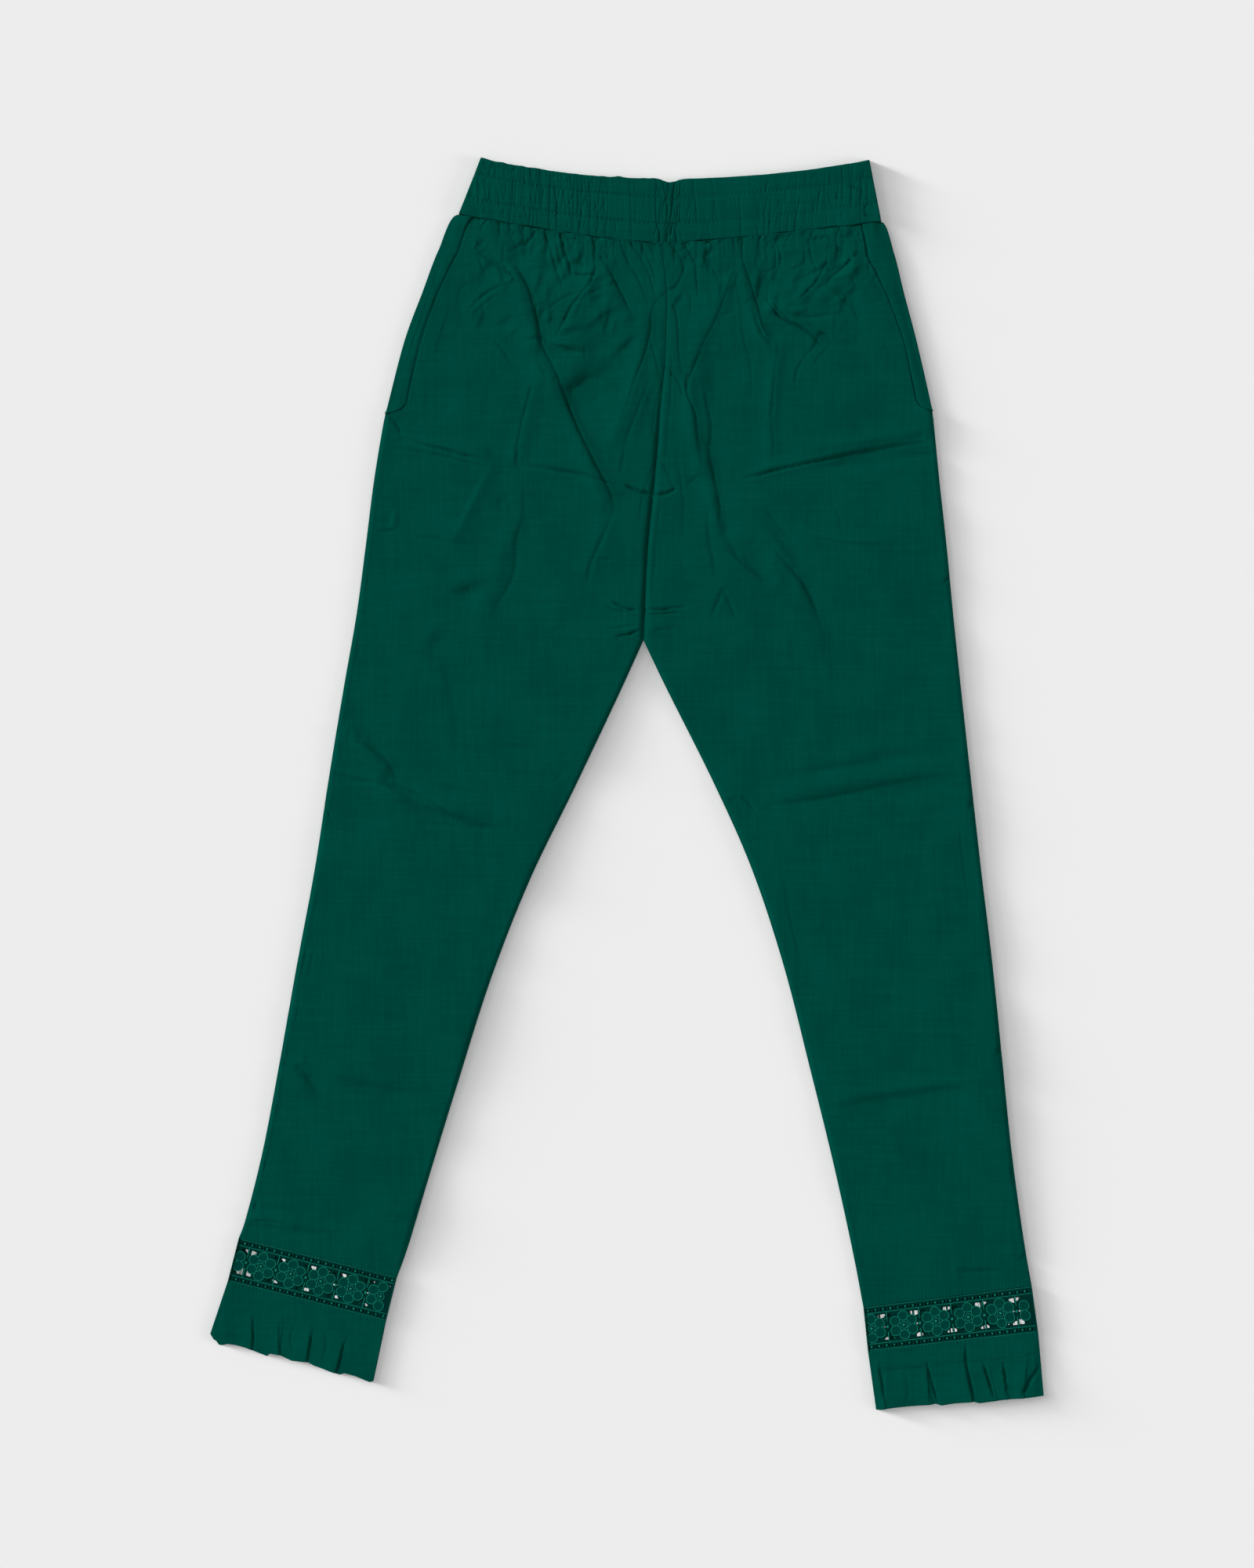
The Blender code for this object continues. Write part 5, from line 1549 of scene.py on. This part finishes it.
def leg_stitches(leg, front):
    """Stitches along the pocket mouth and above the lace of a front panel."""
    mouth = panel_plan(leg, np.full(200, FIRST_SHARE), np.linspace(0.05, POCKET_END - 0.1, 200), True)
    foot = panel_plan(leg, np.linspace(0.01, 0.99, 150), np.full(150, LACE_SEAM - 0.06), True)
    rows = [
        StitchRow(mouth, long=2.0, space=1.2, radius=0.26),
        StitchRow(foot, long=1.5, space=0.8, radius=0.2),
    ]
    return stitches(f"front_{leg.side}_stitches", front, rows)


def frill_stitches(leg, frill):
    """Stitches under the lace and along the tuck line of a front frill."""
    share = np.linspace(FIRST_SHARE, 1 - FIRST_SHARE, 150)
    lines = [frill_plan(leg, share, share, np.full(150, drop)) for drop in (0.035, TUCK_LINE)]
    rows = [StitchRow(line, long=1.5, space=0.8, radius=0.2) for line in lines]
    return stitches(f"frill_{leg.side}_stitches", frill, rows)


# Soft suns: angular size, height over the floor and bearing from +X in degrees, and whether each lights the
# floor or the garment. The floor's own give it the wide soft shadow of the photo.
Sun = namedtuple("Sun", "name energy spread height bearing target")
SUNS = [
    Sun("main light", 2.13, 22, 32, 152, "garment"),
    Sun("floor light, lowest", 4.9, 8, 6, 159, "floor"),
    Sun("floor light, low", 2.84, 12, 10.5, 164, "floor"),
    Sun("floor light, middle", 1.38, 26, 22, 158, "floor"),
    Sun("floor light, right", 1.0, 16, 14, -12, "floor"),
    Sun("floor light, high", 0.47, 10, 80, 120, "floor"),
]
# Strength of the white sky, then floor and camera in metres, with the sensor's height in millimetres
SKY = 0.34
FLOOR_HALF = 20
FLOOR_HEIGHT = -0.00003
FLOOR_PAINT = {"Base Color": (0.80, 0.80, 0.80, 1), "Roughness": 0.95, "Specular IOR Level": 0.0}
CAMERA_HEIGHT = 3.0
PICTURE_HEIGHT = 1.24
SENSOR = 24


def add_camera():
    """Camera straight above the garment."""
    data = bpy.data.cameras.new("camera")
    data.sensor_fit = "VERTICAL"
    data.sensor_height = SENSOR
    data.lens = SENSOR * CAMERA_HEIGHT / PICTURE_HEIGHT
    camera = linked("camera", data)
    camera.location = (0, 0, CAMERA_HEIGHT)
    bpy.context.scene.camera = camera


def add_floor():
    """Pale floor just under the garment."""
    half = FLOOR_HALF
    corners = [(x, y, FLOOR_HEIGHT) for x, y in ((-half, -half), (half, -half), (half, half), (-half, half))]
    data = bpy.data.meshes.new("floor")
    data.from_pydata(corners, [], [(0, 1, 2, 3)])
    data.materials.append(painted("floor", FLOOR_PAINT))
    floor = linked("floor", data)
    return floor


def grouped(name, objects):
    """Collection of objects for a light to reach or be blocked by, outside the scene's own."""
    group = bpy.data.collections.new(name)
    for obj in objects:
        group.objects.link(obj)
    return group


def add_light(garment, floor):
    """Broad soft light from the upper left, the floor's own suns, and a white sky."""
    lit = {"garment": grouped("garment", garment), "floor": grouped("floor", [floor])}
    opaque = grouped("opaque", [obj for obj in garment if not obj.name.startswith("lace")])
    for sun in SUNS:
        data = bpy.data.lights.new(sun.name, "SUN")
        data.energy = sun.energy
        data.angle = math.radians(sun.spread)
        light = linked(sun.name, data)
        rise = math.radians(sun.height)
        turn = math.radians(sun.bearing)
        source = Vector((math.cos(rise) * math.cos(turn), math.cos(rise) * math.sin(turn), math.sin(rise)))
        light.rotation_euler = source.to_track_quat("Z", "Y").to_euler()
        light.light_linking.receiver_collection = lit[sun.target]
        if sun.target == "floor":
            light.light_linking.blocker_collection = opaque
    world = bpy.data.worlds.new("studio")
    world.use_nodes = True
    sky = world.node_tree.nodes["Background"].inputs
    sky["Color"].default_value = (1, 1, 1, 1)
    sky["Strength"].default_value = SKY
    bpy.context.scene.world = world


def main():
    """Builds every piece, gives it what it is made of and hides the solid that it stands for, then adds
    camera and light.
    """
    cotton = fabric("green_cotton", CLOTH_GREEN)
    cord = fabric("lace_cord", LACE_GREEN, weave=0.8)
    # The net's material carries painted shade: its dark green stands for the shadowed back layer seen through
    # the lace
    net = fabric("lace_net_and_painted_shade", NET_GREEN_AND_PAINTED_SHADE)
    petal = fabric("lace_petal", PETAL_GREEN, weave=0.8)
    thread = fabric("sewing_thread", THREAD_GREEN, weave=0.3)

    def cloth(obj, solid):
        return dress(obj, solid, "pants_cloth", cotton)

    def sewn(obj):
        return dress(obj, None, "pants_cloth", thread)

    band = cloth(band_front(), "waistband_front")
    under = cloth(band_back(), "waistband_back")
    rows = sewn(band_stitches(band))
    for leg in (RIGHT_LEG, LEFT_LEG):
        side = leg.side
        under = cloth(leg_back(leg), f"back_{side}")
        strip = cloth(facing(leg), f"pocket_facing_{side}")
        front = cloth(leg_front(leg), f"front_{side}")
        rows = sewn(leg_stitches(leg, front))
        for which in ("back", "front"):
            ground, worked = lace_half(leg, which)
            dress(ground, f"lace_{side}_{which}", "lace", net)
            dress(worked, None, "lace", cord, petal)
            more = [worked, dress(lace_sides(leg), None, "lace", petal)] if which == "front" else [worked]
        under = cloth(frill_back(leg), f"frill_{side}_back")
        frill = cloth(frill_front(leg), f"frill_{side}_front")
        rows = sewn(frill_stitches(leg, frill))
    garment = [obj for obj in bpy.context.scene.objects if obj.type == "MESH"]
    add_camera()
    add_light(garment, add_floor())
    bpy.context.scene.view_settings.view_transform = "Standard"


main()
